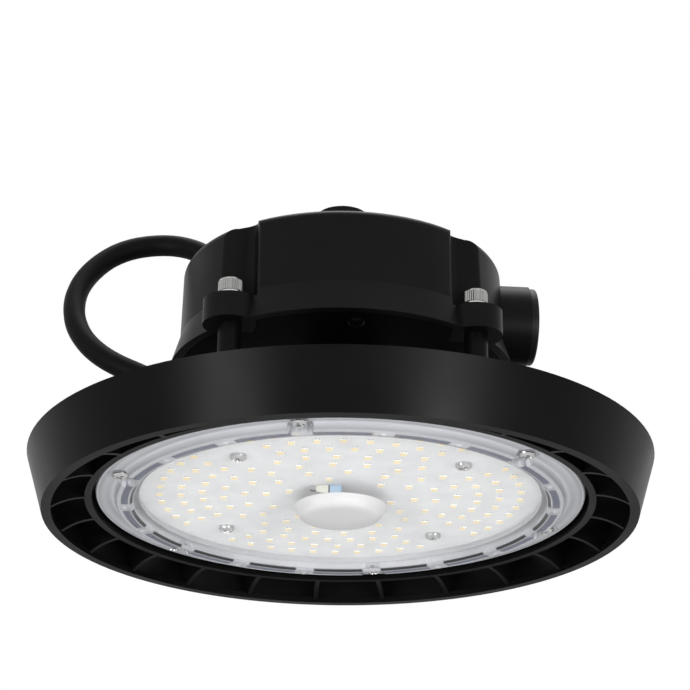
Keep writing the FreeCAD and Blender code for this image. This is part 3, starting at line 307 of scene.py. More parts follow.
@dataclass(frozen=True)
class Plastic:
    """A moulded plastic or rubber with a faint mottle and a fine skin.

    Scales are in cells a metre. Tones are the shares of the colour, and wander is what is added
    to the roughness, where the mottle is darkest and lightest. Skin is the surface's depth.
    """

    name: str
    colour: Colour
    roughness: float = 0.45
    gloss: float = 0.5
    skin: float = 0.008
    skin_scale: float = 1800.0
    mottle_scale: float = 90.0
    tones: Pair = (0.93, 1.06)
    wander: Pair = (-0.04, 0.05)

    def make(self) -> bpy.types.Material:
        """Returns the material."""
        n = Nodes(self.name)
        mottle = n.noise(self.mottle_scale)
        n.tint(mottle, *(shade(self.colour, tone) for tone in self.tones))
        n.vary(mottle, "Roughness", *(self.roughness + more for more in self.wander))
        n.bump(n.noise(self.skin_scale, detail=2.0), self.skin, strength=0.4)
        n.set(Specular_IOR_Level=self.gloss)
        return n.material


@dataclass(frozen=True)
class Veil:
    """See-through moulded plastic that hides a share, its veil, of what is behind it.

    Scales are in cells a metre. The three last fields are the shares of the colour, the veil and
    the roughness where the waves are darkest and lightest.
    """

    name: str
    colour: Colour
    veil: float
    roughness: float
    wave_scale: float = 45.0
    skin: float = 0.004
    skin_scale: float = 900.0
    tones: Pair = (0.97, 1.0)
    veils: Pair = (0.97, 1.03)
    wander: Pair = (1.0, 1.15)

    def make(self) -> bpy.types.Material:
        """Returns the material."""
        n = Nodes(self.name)
        wave = n.noise(self.wave_scale)
        n.tint(wave, *(shade(self.colour, tone) for tone in self.tones))
        n.vary(wave, "Alpha", *(min(1.0, share * self.veil) for share in self.veils))
        n.vary(wave, "Roughness", *(share * self.roughness for share in self.wander))
        n.bump(n.noise(self.skin_scale, detail=2.0), self.skin, strength=0.3)
        n.set(IOR=PLASTIC_IOR)
        return n.material


@dataclass(frozen=True)
class PaintedSlotShade:
    """A band of painted shade in the slots: the dark of the gap behind the flange, painted onto it.
    It has an inner and outer radius, a colour and how much it covers.
    """

    inner: float
    outer: float
    colour: Colour
    cover: float
    soft: float = 0.3


@dataclass(frozen=True)
class RingVeil:
    """The milky flange of the lens. Its rings of grey are the plastic's milky colour, with painted
    light and shade on its steps and a painted highlight near its rim. Its slots have the dark of the
    gap behind it painted on as shade.

    slot_ends is how far a slot reaches from its middle, as shares of the stations' pitch, where
    it starts to fade and where it is gone. The cast tints the greys, and wave is the surface's
    depth.
    """

    name: str
    # Grey levels by radius: the milky plastic with painted light and shade on the flange's steps, and
    # a painted highlight near its rim.
    rings: tuple[Pair, ...]
    # Painted shade: the dark of the gap behind the slots, painted onto the flange in two bands.
    shade_bands: tuple[PaintedSlotShade, ...] = (PaintedSlotShade(85.6, 87.1, (0.006, 0.006, 0.008), 0.9),
                                   PaintedSlotShade(87.5, 90.7, (0.075, 0.085, 0.13), 0.88))
    slot_ends: Pair = (0.352, 0.38)
    cast: Colour = (0.97, 0.985, 1.04)
    veil: float = 0.68
    roughness: Pair = (0.16, 0.26)
    wave_scale: float = 120.0
    wave: float = 0.05

    def slot_share(self, n: Nodes, flat: bpy.types.Node) -> Socket:
        """Tells slots, where the shade is painted, from ribs: 1 in a slot and 0 at a station, from
        the angle about Z.

        Ten whole pitches are added first, so that no angle counts as less than 0.
        """
        parts = n.add("ShaderNodeSeparateXYZ")
        n.join(flat, "Vector", parts, 0)
        angle = n.calculate("ARCTAN2", (parts, 1), (parts, 0))
        turns = n.calculate("DIVIDE", angle, math.radians(STATION_PITCH))
        turns = n.calculate("SUBTRACT", turns, FIRST_STATION / STATION_PITCH - 10.0)
        share = n.calculate("FRACT", turns)
        away = n.calculate("ABSOLUTE", n.calculate("SUBTRACT", share, 0.5))
        return n.span(*away, 1.0, 0.0, *self.slot_ends), 0

    def make(self) -> bpy.types.Material:
        """Returns the material. The radius picks the ring of painted light and shade, and the angle
        tells the slots, where shade is painted, from the ribs.
        """
        n = Nodes(self.name)
        flat = n.add("ShaderNodeVectorMath", operation="MULTIPLY")
        flat.inputs[1].default_value = (1 / MM, 1 / MM, 0.0)
        n.join(n.coordinates, "Object", flat, 0)
        radius = n.add("ShaderNodeVectorMath", operation="LENGTH")
        n.join(flat, "Vector", radius, 0)
        slot = self.slot_share(n, flat)
        low, high = self.rings[0][0], self.rings[-1][0]
        place = n.span(radius, "Value", 0.0, 1.0, low, high)
        stops = [((ring - low) / (high - low), tuple(level * c for c in self.cast))
                 for ring, level in self.rings]
        colour = n.ramp(place, 0, stops), 0
        veil = n.span(radius, "Value", self.veil, self.veil, low, high), 0
        # Each band paints the shade of the gap behind a slot over the rings, and hides more of what
        # is behind the flange there.
        for band in self.shade_bands:
            rise = n.span(radius, "Value", 0.0, 1.0, band.inner, band.inner + band.soft), 0
            fall = n.span(radius, "Value", 1.0, 0.0, band.outer - band.soft, band.outer), 0
            slot_shade_mask = n.calculate("MULTIPLY", n.calculate("MULTIPLY", rise, fall), slot)
            colour = n.blend(slot_shade_mask, colour, band.colour)
            veil = n.blend(slot_shade_mask, veil, grey(band.cover))
        n.join(*colour, n.shader, "Base Color")
        n.join(*veil, n.shader, "Alpha")
        wave = n.noise(self.wave_scale)
        n.vary(wave, "Roughness", *self.roughness)
        n.bump(wave, self.wave, strength=0.4)
        n.set(IOR=PLASTIC_IOR)
        return n.material


class Finish(Enum):
    """The finishes of the light, one for each kind of surface."""

    HEAT_SINK = PowderCoat("black_coat_heat_sink", (0.0024, 0.0024, 0.0025), 0.34, gloss=0.055)
    HOUSING = PowderCoat("black_coat_housing", grey(0.0038), 0.36, gloss=0.06)
    BASE_PLATE = PowderCoat("black_coat_base_plate", grey(0.0012), 0.5, gloss=0.03)
    STEEL = Metal("stainless_steel", grey(0.62), 0.2, depth=0.002)
    CAP_STEEL = Metal("zinc_plated_steel", (0.36, 0.36, 0.35), 0.22, (1500.0, 1500.0, 60.0), 0.006)
    BLACK_STEEL = Metal("black_oxide_steel", grey(0.004), 0.5)
    IVORY = Plastic("ivory_plastic", (0.5, 0.5, 0.44), 0.35)
    CAN = Metal("drawn_can", (0.6, 0.61, 0.63), 0.3)
    BOARD = Plastic("white_mask", (0.745, 0.75, 0.755), 0.4)
    CHIP_BODY = Plastic("chip_white", (0.86, 0.86, 0.85), 0.4)
    PHOSPHOR = Plastic("phosphor", (0.98, 0.8, 0.45), 0.35)
    SOLDER = Metal("solder", grey(0.3), 0.4)
    HEAT_PAD = Plastic("heat_pad_grey", (0.4, 0.42, 0.46), 0.7)
    WHITE_PLASTIC = Plastic("terminal_white", (0.62, 0.63, 0.64), 0.4)
    BLACK_PLASTIC = Plastic("black_nylon", grey(0.006), 0.4, gloss=0.12)
    SEAL = Plastic("black_silicone", grey(0.003), 0.6, gloss=0.06)
    BOARD_GREEN = Plastic("green_mask", (0.02, 0.12, 0.05), 0.4)
    FERRITE = Plastic("ferrite", (0.03, 0.03, 0.032), 0.6)
    WIRE = Plastic("red_wire", (0.5, 0.03, 0.02), 0.4)
    CORD = Plastic("cord_sheath", grey(0.004), 0.5, gloss=0.04)
    CORES = Plastic("core_sheath", (0.16, 0.07, 0.03), 0.42)
    SLEEVE = Plastic("blue_sleeve", (0.28, 0.4, 0.52), 0.4)
    LENS_WINDOW = Veil("lens_window", (0.86, 0.87, 0.9), 0.06, 0.06)
    LENS_HUMP = Veil("lens_hump", (0.56, 0.56, 0.565), 0.9, 0.5)
    LENS_BODY = Veil("lens_body", (0.66, 0.665, 0.69), 0.93, 0.35)
    # Rings of painted light and shade, with a painted highlight near the rim, and painted shade in
    # the slots.
    LENS_FLANGE = RingVeil("lens_flange", ((85.0, 0.46), (86.4, 0.42), (87.4, 0.42), (92.0, 0.56),
                                           (92.6, 0.38), (93.8, 0.76), (95.4, 0.52), (98.0, 0.64),
                                           (99.6, 0.5), (100.2, 0.8), (101.2, 0.68)))

    def material(self) -> bpy.types.Material:
        """Returns the finish's material, made once."""
        known = bpy.data.materials.get(self.value.name)
        return known or self.value.make()


def dress(node: str, finish: Finish) -> None:
    """Gives a node of the frame its finish."""
    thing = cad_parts[node]
    thing.data.materials.clear()
    thing.data.materials.append(finish.material())
    log.info("%s: %s", node, finish.value.name)


def add_piece(name: str, data: bpy.types.ID, finishes: Finish | tuple[Finish, ...],
              replaced: tuple[str, ...] = ()) -> bpy.types.Object:
    """Adds a piece at the origin, riding on the light.

    Args:
        name: name of the piece.
        data: its mesh or curve, already in place.
        finishes: its finish, or its finishes in the order of its faces' material numbers.
        replaced: the nodes of the frame that it stands for.

    Returns:
        The object.
    """
    piece = bpy.data.objects.new(name, data)
    bpy.context.scene.collection.objects.link(piece)
    for finish in finishes if isinstance(finishes, tuple) else (finishes,):
        data.materials.append(finish.material())
    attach(piece, "root")
    if replaced:
        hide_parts(*replaced)
    log.info("%s: %d vertices or splines", name, len(getattr(data, "vertices", ()) or data.splines))
    return piece


@dataclass
class Lead:
    """The mains lead: a loop beside the housing, then under its foot and onto the fins.

    Its route and diameter are in millimetres, and its length along the middle is in metres; the
    length is not used.
    """

    diameter: float = 9.6
    route: tuple[tuple[float, float, float], ...] = (
        (-50.36, 31.5, 125.96), (-57.0, 31.5, 133.9), (-75.0, 42.5, 143.5), (-98.5, 42.0, 138.0),
        (-114.5, 33.0, 117.0), (-115.5, 20.5, 92.5), (-103.5, 9.5, 72.5), (-78.0, 1.0, 58.8),
        (-58.0, 0.0, 48.0), (-41.0, 9.0, 41.5), (-28.0, 27.5, 39.2), (-14.0, 48.0, 39.3),
        (6.0, 67.0, 38.5), (31.0, 80.5, 35.8), (55.0, 88.0, 32.5),
    )
    length: float = 0.3355
    steps: int = 12
    sides: int = 6

    def build(self) -> None:
        curve = bpy.data.curves.new("power_cord_sheath", "CURVE")
        curve.dimensions = "3D"
        spline = curve.splines.new("NURBS")
        spline.points.add(len(self.route) - 1)
        for point, place in zip(spline.points, self.route):
            point.co = (*(MM * c for c in place), 1.0)
        spline.order_u = 3
        spline.use_endpoint_u = True
        spline.resolution_u = self.steps
        curve.bevel_depth = MM * self.diameter / 2
        curve.bevel_resolution = self.sides
        curve.use_fill_caps = True
        sheath = add_piece("power_cord_sheath", curve, Finish.CORD, ("power_cord",))
        dress("cord_cores", Finish.CORES)


@dataclass(frozen=True)
class ChipRing:
    """A ring of chips, with a count and a step between neighbours in each of its sectors.

    start is the first chip's angle, or the middle of the first sector where there are more.
    """

    count: int
    step: float
    sectors: int = 1
    start: float = 0.0


@dataclass
class LightBoard:
    """The chips of the light board: white bodies, phosphor windows and solder at one end."""

    face: float = 10.6
    height: float = 0.4
    half_length: float = 1.4
    half_width: float = 1.75
    rim: float = 0.1
    recess: float = 0.03
    ring_outer: float = 74.9
    ring_pitch: float = 8.8
    solder_height: float = 0.12
    solder_middle: float = 0.7
    solder_half: float = 0.35
    solder_run: Pair = (0.55, 0.2)
    rings: tuple[ChipRing, ...] = (
        ChipRing(10, 7.5, 4), ChipRing(8, 9.0, 4), ChipRing(7, 10.0, 4), ChipRing(6, 14.7, 4),
        ChipRing(18, 20.0), ChipRing(12, 30.0), ChipRing(6, 60.0, start=12.7),
    )

    def centres(self) -> np.ndarray:
        """Returns the chip centres: seven rings, the outer four broken at the board screws."""
        places = []
        for number, ring in enumerate(self.rings):
            radius = self.ring_outer - number * self.ring_pitch
            middle = (ring.count - 1) / 2 if ring.sectors > 1 else 0
            turn = np.radians(ring.start + 90 * np.arange(ring.sectors)[:, None]
                              + ring.step * (np.arange(ring.count) - middle)).ravel()
            places.append(np.stack([radius * np.cos(turn), radius * np.sin(turn)], axis=1))
        return np.concatenate(places)

    def body(self) -> tuple[np.ndarray, np.ndarray, list[int]]:
        """Returns one chip's points, quads and finishes: nested rectangles joined by quads."""
        low = self.face - self.height
        inner_length, inner_width = self.half_length - self.rim, self.half_width - self.rim
        sizes = ((self.half_length, self.half_width, self.face),
                 (self.half_length, self.half_width, low),
                 (inner_length, inner_width, low),
                 (inner_length, inner_width, low + self.recess))
        corners = np.array([(-1, -1), (1, -1), (1, 1), (-1, 1)])
        points = np.array([(x * hx, y * hy, z) for hx, hy, z in sizes for x, y in corners])
        last = len(points) - 1
        quads = [[4 * k + a, 4 * k + (a + 1) % 4, 4 * k + 4 + (a + 1) % 4, 4 * k + 4 + a]
                 for k in range(len(sizes) - 1) for a in range(4)]
        kinds = [0] * len(quads) + [1, 0]
        quads += [[last, last - 1, last - 2, last - 3], [0, 1, 2, 3]]
        return points, np.array(quads), kinds

    def solder(self) -> tuple[np.ndarray, np.ndarray]:
        """Returns the points and quads of one chip's two solder marks, each a low box."""
        near, far = (-self.half_width - run for run in self.solder_run)
        points, quads = [], []
        for side in (-1, 1):
            left = side * self.solder_middle - self.solder_half
            right = side * self.solder_middle + self.solder_half
            start = len(points)
            points += [(x, y, z) for z in (self.face - self.solder_height, self.face)
                       for x, y in ((left, near), (right, near), (right, far), (left, far))]
            quads += [[start + a, start + (a + 1) % 4, start + 4 + (a + 1) % 4, start + 4 + a]
                      for a in range(4)]
            quads += [[start, start + 1, start + 2, start + 3],
                      [start + 4, start + 5, start + 6, start + 7]]
        return np.array(points), np.array(quads)

    def build(self) -> None:
        """Builds all the chips as one mesh: the points of one chip, shifted to every centre."""
        body, body_quads, kinds = self.body()
        solder, solder_quads = self.solder()
        points = np.concatenate([body, solder])
        quads = np.concatenate([body_quads, solder_quads + len(body)])
        kinds = np.array(kinds + [2] * len(solder_quads), dtype=np.int32)
        centres = self.centres()
        shift = np.concatenate([centres, np.zeros((len(centres), 1))], axis=1)
        all_points = (points[None] + shift[:, None]).reshape(-1, 3) * MM
        first_points = np.arange(len(centres)) * len(points)
        all_quads = (quads[None] + first_points[:, None, None]).reshape(-1, 4)
        mesh = bpy.data.meshes.new("light_chips")
        mesh.from_pydata(all_points.tolist(), [], all_quads.tolist())
        mesh.polygons.foreach_set("material_index", np.tile(kinds, len(centres)))
        merge(mesh)
        add_piece("light_chips", mesh, (Finish.CHIP_BODY, Finish.PHOSPHOR, Finish.SOLDER),
                  ("led_chips",))


@dataclass
class Lens:
    """The moulded lens cover: a frosted hump, a clear window, a ridge of slots and a flange.

    The ridge has stations, every third of them with a trough for a lens screw, and slots between
    them. The finishes change at the radii hump_end, window_end and, on the upper face,
    body_start. lower and upper are the faces' profiles, as radius and height.
    """

    trough_every: int = 3
    trough_floor: float = 8.6
    trough_half: float = 4.8
    trough_run: Pair = (92.5, 94.1)
    nub_circle: float = 89.3
    nub_radius: float = 1.6
    nub_height: float = 0.7
    slot_run: Pair = (87.7, 90.9)
    slot_half: float = 7.3
    slot_floor: float = 6.2
    rib: float = 0.6
    wall: float = 0.8
    soft: float = 0.3
    edge: float = 0.1
    step: float = 1.25
    near_step: float = 0.36
    near_reach: float = 3.6
    ridge_rows: tuple[float, float, float] = (86.7, 99.9, 0.42)
    hump_end: float = 19.4
    body_start: float = 83.2
    window_end: float = 85.3
    lower: tuple[Pair, ...] = (
        (0.0, 0.6), (8.0, 0.6), (13.0, 0.65), (14.8, 0.85), (15.9, 1.2), (16.7, 1.75), (17.3, 2.5),
        (17.7, 3.3), (18.1, 4.1), (18.6, 4.8), (19.0, 5.35), (19.3, 5.75), (19.8, 6.0), (30.0, 6.0),
        (50.0, 6.0), (70.0, 6.0), (82.0, 6.0), (85.3, 6.0), (85.7, 5.9), (86.05, 5.6), (86.35, 5.2),
        (86.7, 4.96), (87.1, 4.9), (91.6, 4.9), (92.1, 5.0), (92.45, 5.35), (93.2, 6.8), (93.6, 7.5),
        (94.0, 7.8), (94.5, 7.9), (100.3, 7.9), (100.8, 8.1), (101.0, 8.5),
    )
    upper: tuple[Pair, ...] = (
        (0.0, 2.5), (8.0, 2.5), (12.5, 2.55), (14.6, 2.9), (15.9, 3.9), (16.6, 5.2), (17.2, 6.6),
        (17.9, 7.8), (18.6, 8.2), (30.0, 8.2), (50.0, 8.2), (70.0, 8.2), (83.25, 8.2), (83.35, 10.4),
        (85.25, 10.4), (85.35, 10.9), (87.3, 10.9), (87.6, 10.9), (87.8, 10.9), (89.3, 10.9),
        (90.8, 10.9), (91.0, 10.9), (92.5, 10.9), (96.0, 10.9), (100.6, 10.9), (101.0, 10.5),
    )

    def angles(self) -> np.ndarray:
        """Returns the angles of the grid in degrees, closer together at the stations."""
        coarse = np.arange(0.0, 360.0, self.step)
        near = np.arange(-self.near_reach, self.near_reach + self.near_step / 2, self.near_step)
        fine = (FIRST_STATION + STATION_PITCH * np.arange(STATIONS)[:, None] + near).ravel()
        return np.unique(np.round(np.concatenate([coarse, fine]) % 360.0, 3))

    def lower_face(self, radius: np.ndarray, turn: np.ndarray) -> np.ndarray:
        """Returns the heights of the lower face.

        The height is the moulded profile at that radius. In a trough, which is all that lies
        within trough_half of a short radial line, it rises to the trough's floor. At the other
        stations it drops in a round nub.
        """
        height = np.interp(radius, *np.array(self.lower).T) + 0.0 * turn
        number = np.round((turn - FIRST_STATION) / STATION_PITCH)
        off = np.radians(turn - FIRST_STATION - STATION_PITCH * number)
        along, across = radius * np.cos(off), radius * np.sin(off)
        is_trough = number % self.trough_every == 0
        reach = np.hypot(along - np.clip(along, *self.trough_run), across)
        outside = ease(self.trough_half - self.soft, self.trough_half + self.soft, reach)
        cut = is_trough * (1.0 - outside)
        height = height + cut * np.maximum(self.trough_floor - height, 0.0)
        reach = np.hypot(along - self.nub_circle, across)
        outside = ease(self.nub_radius / 2, self.nub_radius + self.edge, reach)
        return height - self.nub_height * ~is_trough * (1.0 - outside)

    def upper_face(self, radius: np.ndarray, turn: np.ndarray) -> np.ndarray:
        """Returns the heights of the upper face: its profile, sunk to slot_floor in the slots.

        Between two slots the groove is a little shallower, which leaves a low rib there. The
        cover is nowhere thinner than its wall.
        """
        height = np.interp(radius, *np.array(self.upper).T) + 0.0 * turn
        off = np.abs(((turn - FIRST_STATION) / STATION_PITCH % 1.0 - 0.5) * STATION_PITCH)
        rib = self.rib * ease(self.slot_half - self.soft, self.slot_half + self.soft, off)
        inner, outer = self.slot_run
        sunk = (ease(inner - self.edge, inner + self.edge, radius)
                * (1.0 - ease(outer - self.edge, outer + self.edge, radius)))
        height = height + sunk * (self.slot_floor + rib - height)
        return np.maximum(height, self.lower_face(radius, turn) + self.wall)

    def build(self) -> None:
        """Builds the cover: x = r cos t, y = r sin t, lower face outwards and upper face back."""
        turn = self.angles()[None, :]
        profile_rows = [radius for radius, _ in self.lower]
        below = np.unique(np.concatenate([profile_rows, np.arange(*self.ridge_rows)]))[:, None]
        above = np.array([radius for radius, _ in self.upper])[::-1, None]
        radius = np.vstack([below, above])
        height = np.vstack([self.lower_face(below, turn), self.upper_face(above, turn)])
        angle = np.radians(turn)
        mesh = add_grid("lens_moulding", (radius * np.cos(angle), radius * np.sin(angle), height),
                        closed=True)
        middle = (radius[:-1, 0] + radius[1:, 0]) / 2
        is_below = np.arange(len(middle)) < len(below)
        window, hump, flange, body = range(4)
        kinds = np.select([is_below & (middle > self.window_end), is_below & (middle < self.hump_end),
                           ~is_below & (middle > self.body_start)], [flange, hump, body], window)
        mesh.polygons.foreach_set("material_index", np.repeat(kinds, turn.size).astype(np.int32))
        merge(mesh, smooth=True)
        add_piece("lens_moulding", mesh, (Finish.LENS_WINDOW, Finish.LENS_HUMP, Finish.LENS_FLANGE,
                                          Finish.LENS_BODY), ("lens_cover",))


@dataclass
class WireTerminal:
    """The wire terminal beside the hole of the light board: clip, body, band and sleeve.

    Each section has its place along X, its half width, its half height, and the number of the
    finish of the stretch that follows it.
    """

    centre_y: float = -11.6
    top: float = LightBoard.face
    least_drop: float = 1.0
    columns: int = 32
    squareness: float = 0.3
    sections: tuple[tuple[float, float, float, int], ...] = (
        (-13.6, 0.0, 0.0, 0), (-13.6, 1.3, 0.9, 0), (-11.2, 1.6, 1.1, 0), (-11.2, 1.9, 1.3, 1),
        (-10.7, 2.1, 1.5, 1), (-6.9, 3.2, 2.1, 1), (-6.4, 3.2, 2.1, 1), (-6.4, 2.9, 1.9, 2),
        (-5.8, 2.9, 1.9, 3), (-5.8, 3.3, 2.15, 3), (-1.4, 3.2, 2.1, 3), (-0.8, 2.6, 1.6, 3),
        (-0.8, 0.0, 0.0, 3),
    )

    def build(self) -> None:
        """Builds the terminal: at x = s, a rounded rectangle of half sizes a(s) and b(s).

        A point at the angle t has y = a c and z = b d, where c and d are the cosine and the sine
        of t raised to the power squareness with their signs kept.
        """
        along, wide, high, kinds = np.array(self.sections).T[:, :, None]
        t = np.linspace(0, 2 * np.pi, self.columns, endpoint=False)[None, :]
        c = np.sign(np.cos(t)) * np.abs(np.cos(t)) ** self.squareness
        d = np.sign(np.sin(t)) * np.abs(np.sin(t)) ** self.squareness
        middle = self.top - np.maximum(high, self.least_drop)
        mesh = add_grid("wire_terminal", (along + 0 * t, self.centre_y + wide * c, middle + high * d),
                        closed=True)
        kinds = np.repeat(kinds[:-1, 0], self.columns).astype(np.int32)
        mesh.polygons.foreach_set("material_index", kinds)
        merge(mesh)
        add_piece("wire_terminal", mesh, (Finish.STEEL, Finish.IVORY, Finish.BLACK_PLASTIC,
                                          Finish.SLEEVE), ("board_terminal",))


@dataclass(frozen=True)
class ScrewRing:
    """A ring of like screws: the piece, its node, and the circle that the screws stand on."""

    name: str
    node: str
    circle: float
    seat: float
    count: int
    first: float
    finish: Finish = Finish.STEEL


@dataclass
class PanScrews:
    """The small screws: a pan head with a cross recess, facing down, and a shank above it."""

    head: float = 3.4
    head_height: float = 2.4
    head_side: float = 0.9
    dome: float = 0.7
    corner: float = 0.5
    corner_start: float = 2.7
    shank: float = 1.9
    tip: float = 0.5
    length: float = 9.0
    recess: float = 1.5
    arm: float = 2.2
    arm_half: float = 0.5
    arm_slope: Pair = (0.3, 0.1)
    head_turn: float = 37.0
    columns: int = 48
    crown: tuple[float, ...] = (0, 0.3, 0.6, 0.9, 1.2, 1.5, 1.8, 2.0, 2.2, 2.7, 3.1, 3.32)
    rings: tuple[ScrewRing, ...] = (
        ScrewRing("lens_pan_screws", "lens_screws", Lens.trough_run[1], Lens.trough_floor,
                  STATIONS // Lens.trough_every, FIRST_STATION),
        ScrewRing("board_pan_screws", "board_screws", 63.5, LightBoard.face, 4, 45.0),
        ScrewRing("base_pan_screws", "base_screws", 61.0, 64.0, 4, 0.0, Finish.BLACK_STEEL),
    )

    def grid(self) -> Grid:
        """Returns one screw about its own axis, its head's seat at height 0.

        The crown is a flat dome, dome times r squared over the head's radius squared, with a
        rounded corner. Inside two crossing bars the height rises by the recess's depth.
        """
        past_crown = ((self.head, -self.head_side), (self.head, 0.0), (self.shank, 0.0),
                      (self.shank, self.length - self.tip), (self.shank - self.tip, self.length),
                      (0.0, self.length))
        crown, ends = np.array(self.crown), np.array(past_crown)
        radius = np.concatenate([crown, ends[:, 0]])[:, None]
        t = np.linspace(0, 2 * np.pi, self.columns, endpoint=False)[None, :]
        x, y = radius * np.cos(t), radius * np.sin(t)
        top = (-self.head_height + self.dome * (crown / self.head) ** 2
               + self.corner * ease(self.corner_start, self.head, crown))
        height = np.concatenate([top, ends[:, 1]])[:, None] + 0 * t
        end_slope, side_slope = self.arm_slope
        bars = [(1 - ease(self.arm_half - side_slope, self.arm_half + side_slope, np.abs(a)))
                * (1 - ease(self.arm - end_slope, self.arm, np.abs(b))) for a, b in ((x, y), (y, x))]
        deep = np.maximum(*bars)
        deep[len(crown):] = 0
        return x, y, height + self.recess * deep

    def build(self) -> None:
        """Builds the screws of the lens, of the light board and of the base plate."""
        for ring in self.rings:
            number = np.arange(ring.count)
            turn = np.radians(ring.first + 360 / ring.count * number)
            places = np.stack([ring.circle * np.cos(turn), ring.circle * np.sin(turn),
                               0 * turn + ring.seat, self.head_turn * number], axis=1)
            mesh = copies(ring.name, self.grid(), places)
            add_piece(ring.name, mesh, ring.finish, (ring.node,))


@dataclass
class CapScrews:
    """The four cap screws of the housing: a knurled head with a hexagon socket, facing up.

    Each row has its radius, its height, and 0 where it is plain, 1 where it is knurled and 2
    where it is a hexagon of the socket.
    """

    half_pitch: float = 50.0
    seat: float = 77.8
    turns: Pair = (15.0, 40.0)
    teeth: int = 36
    knurl: float = 0.13
    flats: float = 2.51
    rows: tuple[tuple[float, float, int], ...] = (
        (0, -23.8, 0), (2.4, -23.8, 0), (3.0, -23.2, 0), (3.0, 0, 0), (4.5, 0, 0), (4.85, 0.35, 0),
        (5.0, 0.5, 1), (5.0, 4.9, 1), (4.95, 5.2, 0), (4.8, 5.6, 0), (4.4, 5.9, 0), (3.9, 6, 0),
        (0, 6, 2), (0, 2.8, 2), (0, 2.8, 0),
    )

    def build(self) -> None:
        """Builds the screws: radius and height by row, the radius waved over the knurled rows.

        In the socket, the radius is the half width across the flats over the cosine of the angle
        from the nearest flat.
        """
        radius, height, kind = np.array(self.rows).T[:, :, None]
        t = np.linspace(0, 2 * np.pi, 4 * self.teeth, endpoint=False)[None, :]
        sixth = np.pi / 3
        hexagon = self.flats / np.cos((t + sixth / 2) % sixth - sixth / 2)
        knurled = radius + (kind == 1) * self.knurl * np.cos(self.teeth * t)
        radius = np.where(kind == 2, hexagon, knurled)
        corners = [(x * self.half_pitch, y * self.half_pitch, self.seat, np.dot(self.turns, (x, y)))
                   for x in (-1, 1) for y in (-1, 1)]
        mesh = copies("knurled_cap_screws", (radius * np.cos(t), radius * np.sin(t), height + 0 * t),
                      np.array(corners))
        add_piece("knurled_cap_screws", mesh, Finish.CAP_STEEL, ("mounting_screws",))


@dataclass(frozen=True)
class Lamp:
    """A square soft box: its place and side in metres, and its power in watts."""

    name: str
    place: tuple[float, float, float]
    side: float
    power: float


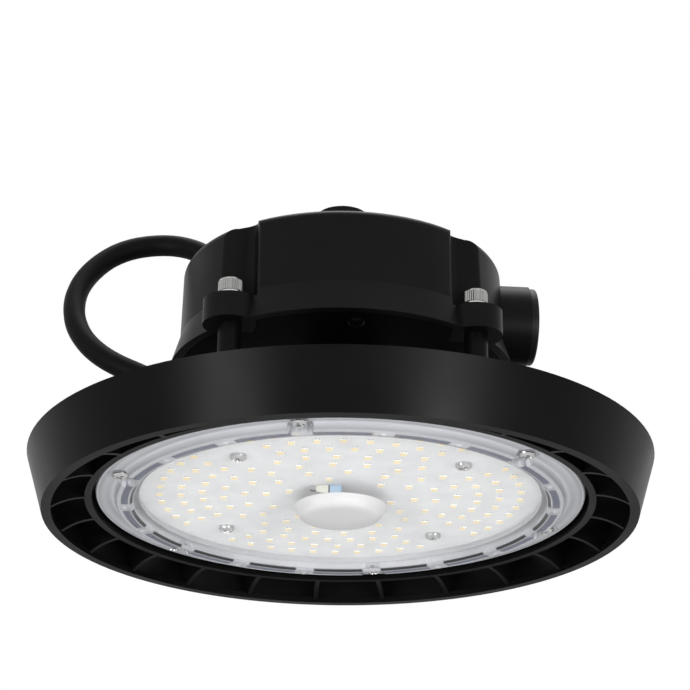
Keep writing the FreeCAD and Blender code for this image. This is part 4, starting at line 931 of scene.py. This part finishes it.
@dataclass
class Studio:
    """The floor, the lamps, the white surround and the camera.

    The camera's distance and clip_end are in metres, its focal length in pixels of the frame,
    and its angles in radians. The lamps and their aim are in metres.
    """

    distance: float = 0.9133
    focal: float = 2203.1
    frame_px: float = 690.0
    sensor: float = 36.0
    elevation: float = -0.3236
    azimuth: float = math.radians(-5.5)
    clip_end: float = 20.0
    pitch: float = 0.0797
    yaw: float = 0.0016
    roll: float = 0.007
    ambient: float = 0.55
    floor_half: float = 12000.0
    floor_level: float = -520.0
    lamps: tuple[Lamp, ...] = (
        Lamp("left_box", (-1.07, -1.08, -0.36), 0.5, 17.5),
        Lamp("right_box", (0.77, -1.3, -0.34), 0.5, 17.5),
        Lamp("top_box", (0.1, 0.3, 1.5), 1.0, 12.0),
    )
    aim: tuple[float, float, float] = (0.0, 0.0, 0.06)

    def camera(self) -> None:
        """Places the camera where the photograph was taken from, below the light."""
        data = bpy.data.cameras.new("camera")
        data.sensor_width = self.sensor
        data.lens = self.focal * self.sensor / self.frame_px
        data.clip_end = self.clip_end
        camera = bpy.data.objects.new("camera", data)
        bpy.context.scene.collection.objects.link(camera)
        bpy.context.scene.camera = camera
        camera.matrix_world = self.camera_matrix()

    def camera_matrix(self) -> Matrix:
        """Returns the camera's place and turn.

        The camera stands on a sphere about the origin, looks at it, and then turns up by pitch,
        sideways by yaw and about its own axis by roll.
        """
        place = -self.distance * Vector((0.0, math.cos(self.elevation), -math.sin(self.elevation)))
        forward = -place.normalized()
        right = Vector((1.0, 0.0, 0.0))
        up = right.cross(forward)
        forward = forward * math.cos(self.pitch) + up * math.sin(self.pitch)
        up = right.cross(forward)
        forward = forward * math.cos(self.yaw) + right * math.sin(self.yaw)
        right = forward.cross(up)
        turned_right = right * math.cos(self.roll) + up * math.sin(self.roll)
        turned_up = up * math.cos(self.roll) - right * math.sin(self.roll)
        turn = Matrix((turned_right, turned_up, -forward)).transposed().to_4x4()
        return Matrix.Rotation(self.azimuth, 4, "Z") @ Matrix.Translation(place) @ turn

    def add_lamp(self, lamp: Lamp) -> None:
        """Adds a lamp that looks at the light."""
        data = bpy.data.lights.new(lamp.name, "AREA")
        data.shape = "SQUARE"
        data.size = lamp.side
        data.energy = lamp.power
        box = bpy.data.objects.new(lamp.name, data)
        bpy.context.scene.collection.objects.link(box)
        box.location = lamp.place
        towards = Vector(self.aim) - Vector(lamp.place)
        box.rotation_euler = towards.to_track_quat("-Z", "Y").to_euler()

    def surround(self) -> None:
        """Makes the world: white where it is seen, softer where it lights dull surfaces."""
        world = bpy.data.worlds.new("surround")
        bpy.context.scene.world = world
        world.use_nodes = True
        tree = world.node_tree
        tree.nodes.clear()
        output = tree.nodes.new("ShaderNodeOutputWorld")
        paths = tree.nodes.new("ShaderNodeLightPath")
        seen = self.seen(tree, paths)
        white, soft = tree.nodes.new("ShaderNodeBackground"), tree.nodes.new("ShaderNodeBackground")
        soft.inputs["Strength"].default_value = self.ambient
        mix = tree.nodes.new("ShaderNodeMixShader")
        for source, target in ((seen.outputs[0], mix.inputs[0]), (soft.outputs[0], mix.inputs[1]),
                               (white.outputs[0], mix.inputs[2]), (mix.outputs[0], output.inputs[0])):
            tree.links.new(source, target)
        for background in (white, soft):
            background.inputs["Color"].default_value = (*grey(1.0), 1.0)

    @staticmethod
    def seen(tree: bpy.types.NodeTree, paths: bpy.types.Node) -> bpy.types.Node:
        """Returns a node that is 1 for rays from the camera, glossy rays and rays through glass."""
        total = paths.outputs["Is Camera Ray"]
        for name in ("Is Glossy Ray", "Is Transmission Ray"):
            node = tree.nodes.new("ShaderNodeMath")
            node.operation = "MAXIMUM"
            tree.links.new(total, node.inputs[0])
            tree.links.new(paths.outputs[name], node.inputs[1])
            total = node.outputs[0]
        return node

    def floor(self) -> None:
        """Lays a pale floor well below the hanging light; from beneath, one looks through it."""
        edge = self.floor_half * np.array([-1.0, 0.0, 1.0])
        u, v = np.meshgrid(edge, edge, indexing="ij")
        mesh = add_grid("floor", (u, v, self.floor_level + 0 * u))
        floor = bpy.data.objects.new("floor", mesh)
        bpy.context.scene.collection.objects.link(floor)
        n = Nodes("pale_floor")
        n.set(Base_Color=(*grey(0.9), 1.0), Roughness=0.8)
        side = n.add("ShaderNodeNewGeometry")
        n.join(n.span(side, "Backfacing", 1.0, 0.0), "Result", n.shader, "Alpha")
        mesh.materials.append(n.material)

    def build(self) -> None:
        """Builds the studio."""
        self.camera()
        self.surround()
        self.floor()
        for lamp in self.lamps:
            self.add_lamp(lamp)


FINISHES: dict[str, Finish] = {
    "heat_sink": Finish.HEAT_SINK, "heat_pad": Finish.HEAT_PAD, "led_board": Finish.BOARD,
    "board_leads": Finish.WIRE, "lens_gasket": Finish.SEAL, "driver_housing": Finish.HOUSING,
    "base_gasket": Finish.SEAL, "base_plate": Finish.BASE_PLATE, "spring_washers": Finish.STEEL,
    "flat_washers": Finish.STEEL, "duct_seal": Finish.SEAL,
    "driver_board": Finish.BOARD_GREEN, "driver_board_screws": Finish.STEEL,
    "transformer": Finish.FERRITE, "capacitors": Finish.CAN, "choke": Finish.FERRITE,
    "line_terminal": Finish.WHITE_PLASTIC, "port_plug": Finish.BLACK_PLASTIC,
    "port_ring": Finish.SEAL, "gland_body": Finish.BLACK_PLASTIC, "gland_seal": Finish.SEAL,
    "gland_nut": Finish.BLACK_PLASTIC,
}


def main() -> None:
    """Builds the scene in order: camera and lead first, then the light."""
    logging.basicConfig(level=logging.INFO, format="%(message)s")
    bpy.context.scene.view_settings.view_transform = "Standard"
    Studio().build()
    Lead().build()
    for part in (LightBoard(), Lens(), WireTerminal(), PanScrews(), CapScrews()):
        part.build()
    for node, finish in FINISHES.items():
        dress(node, finish)


if __name__ == "__main__":
    main()
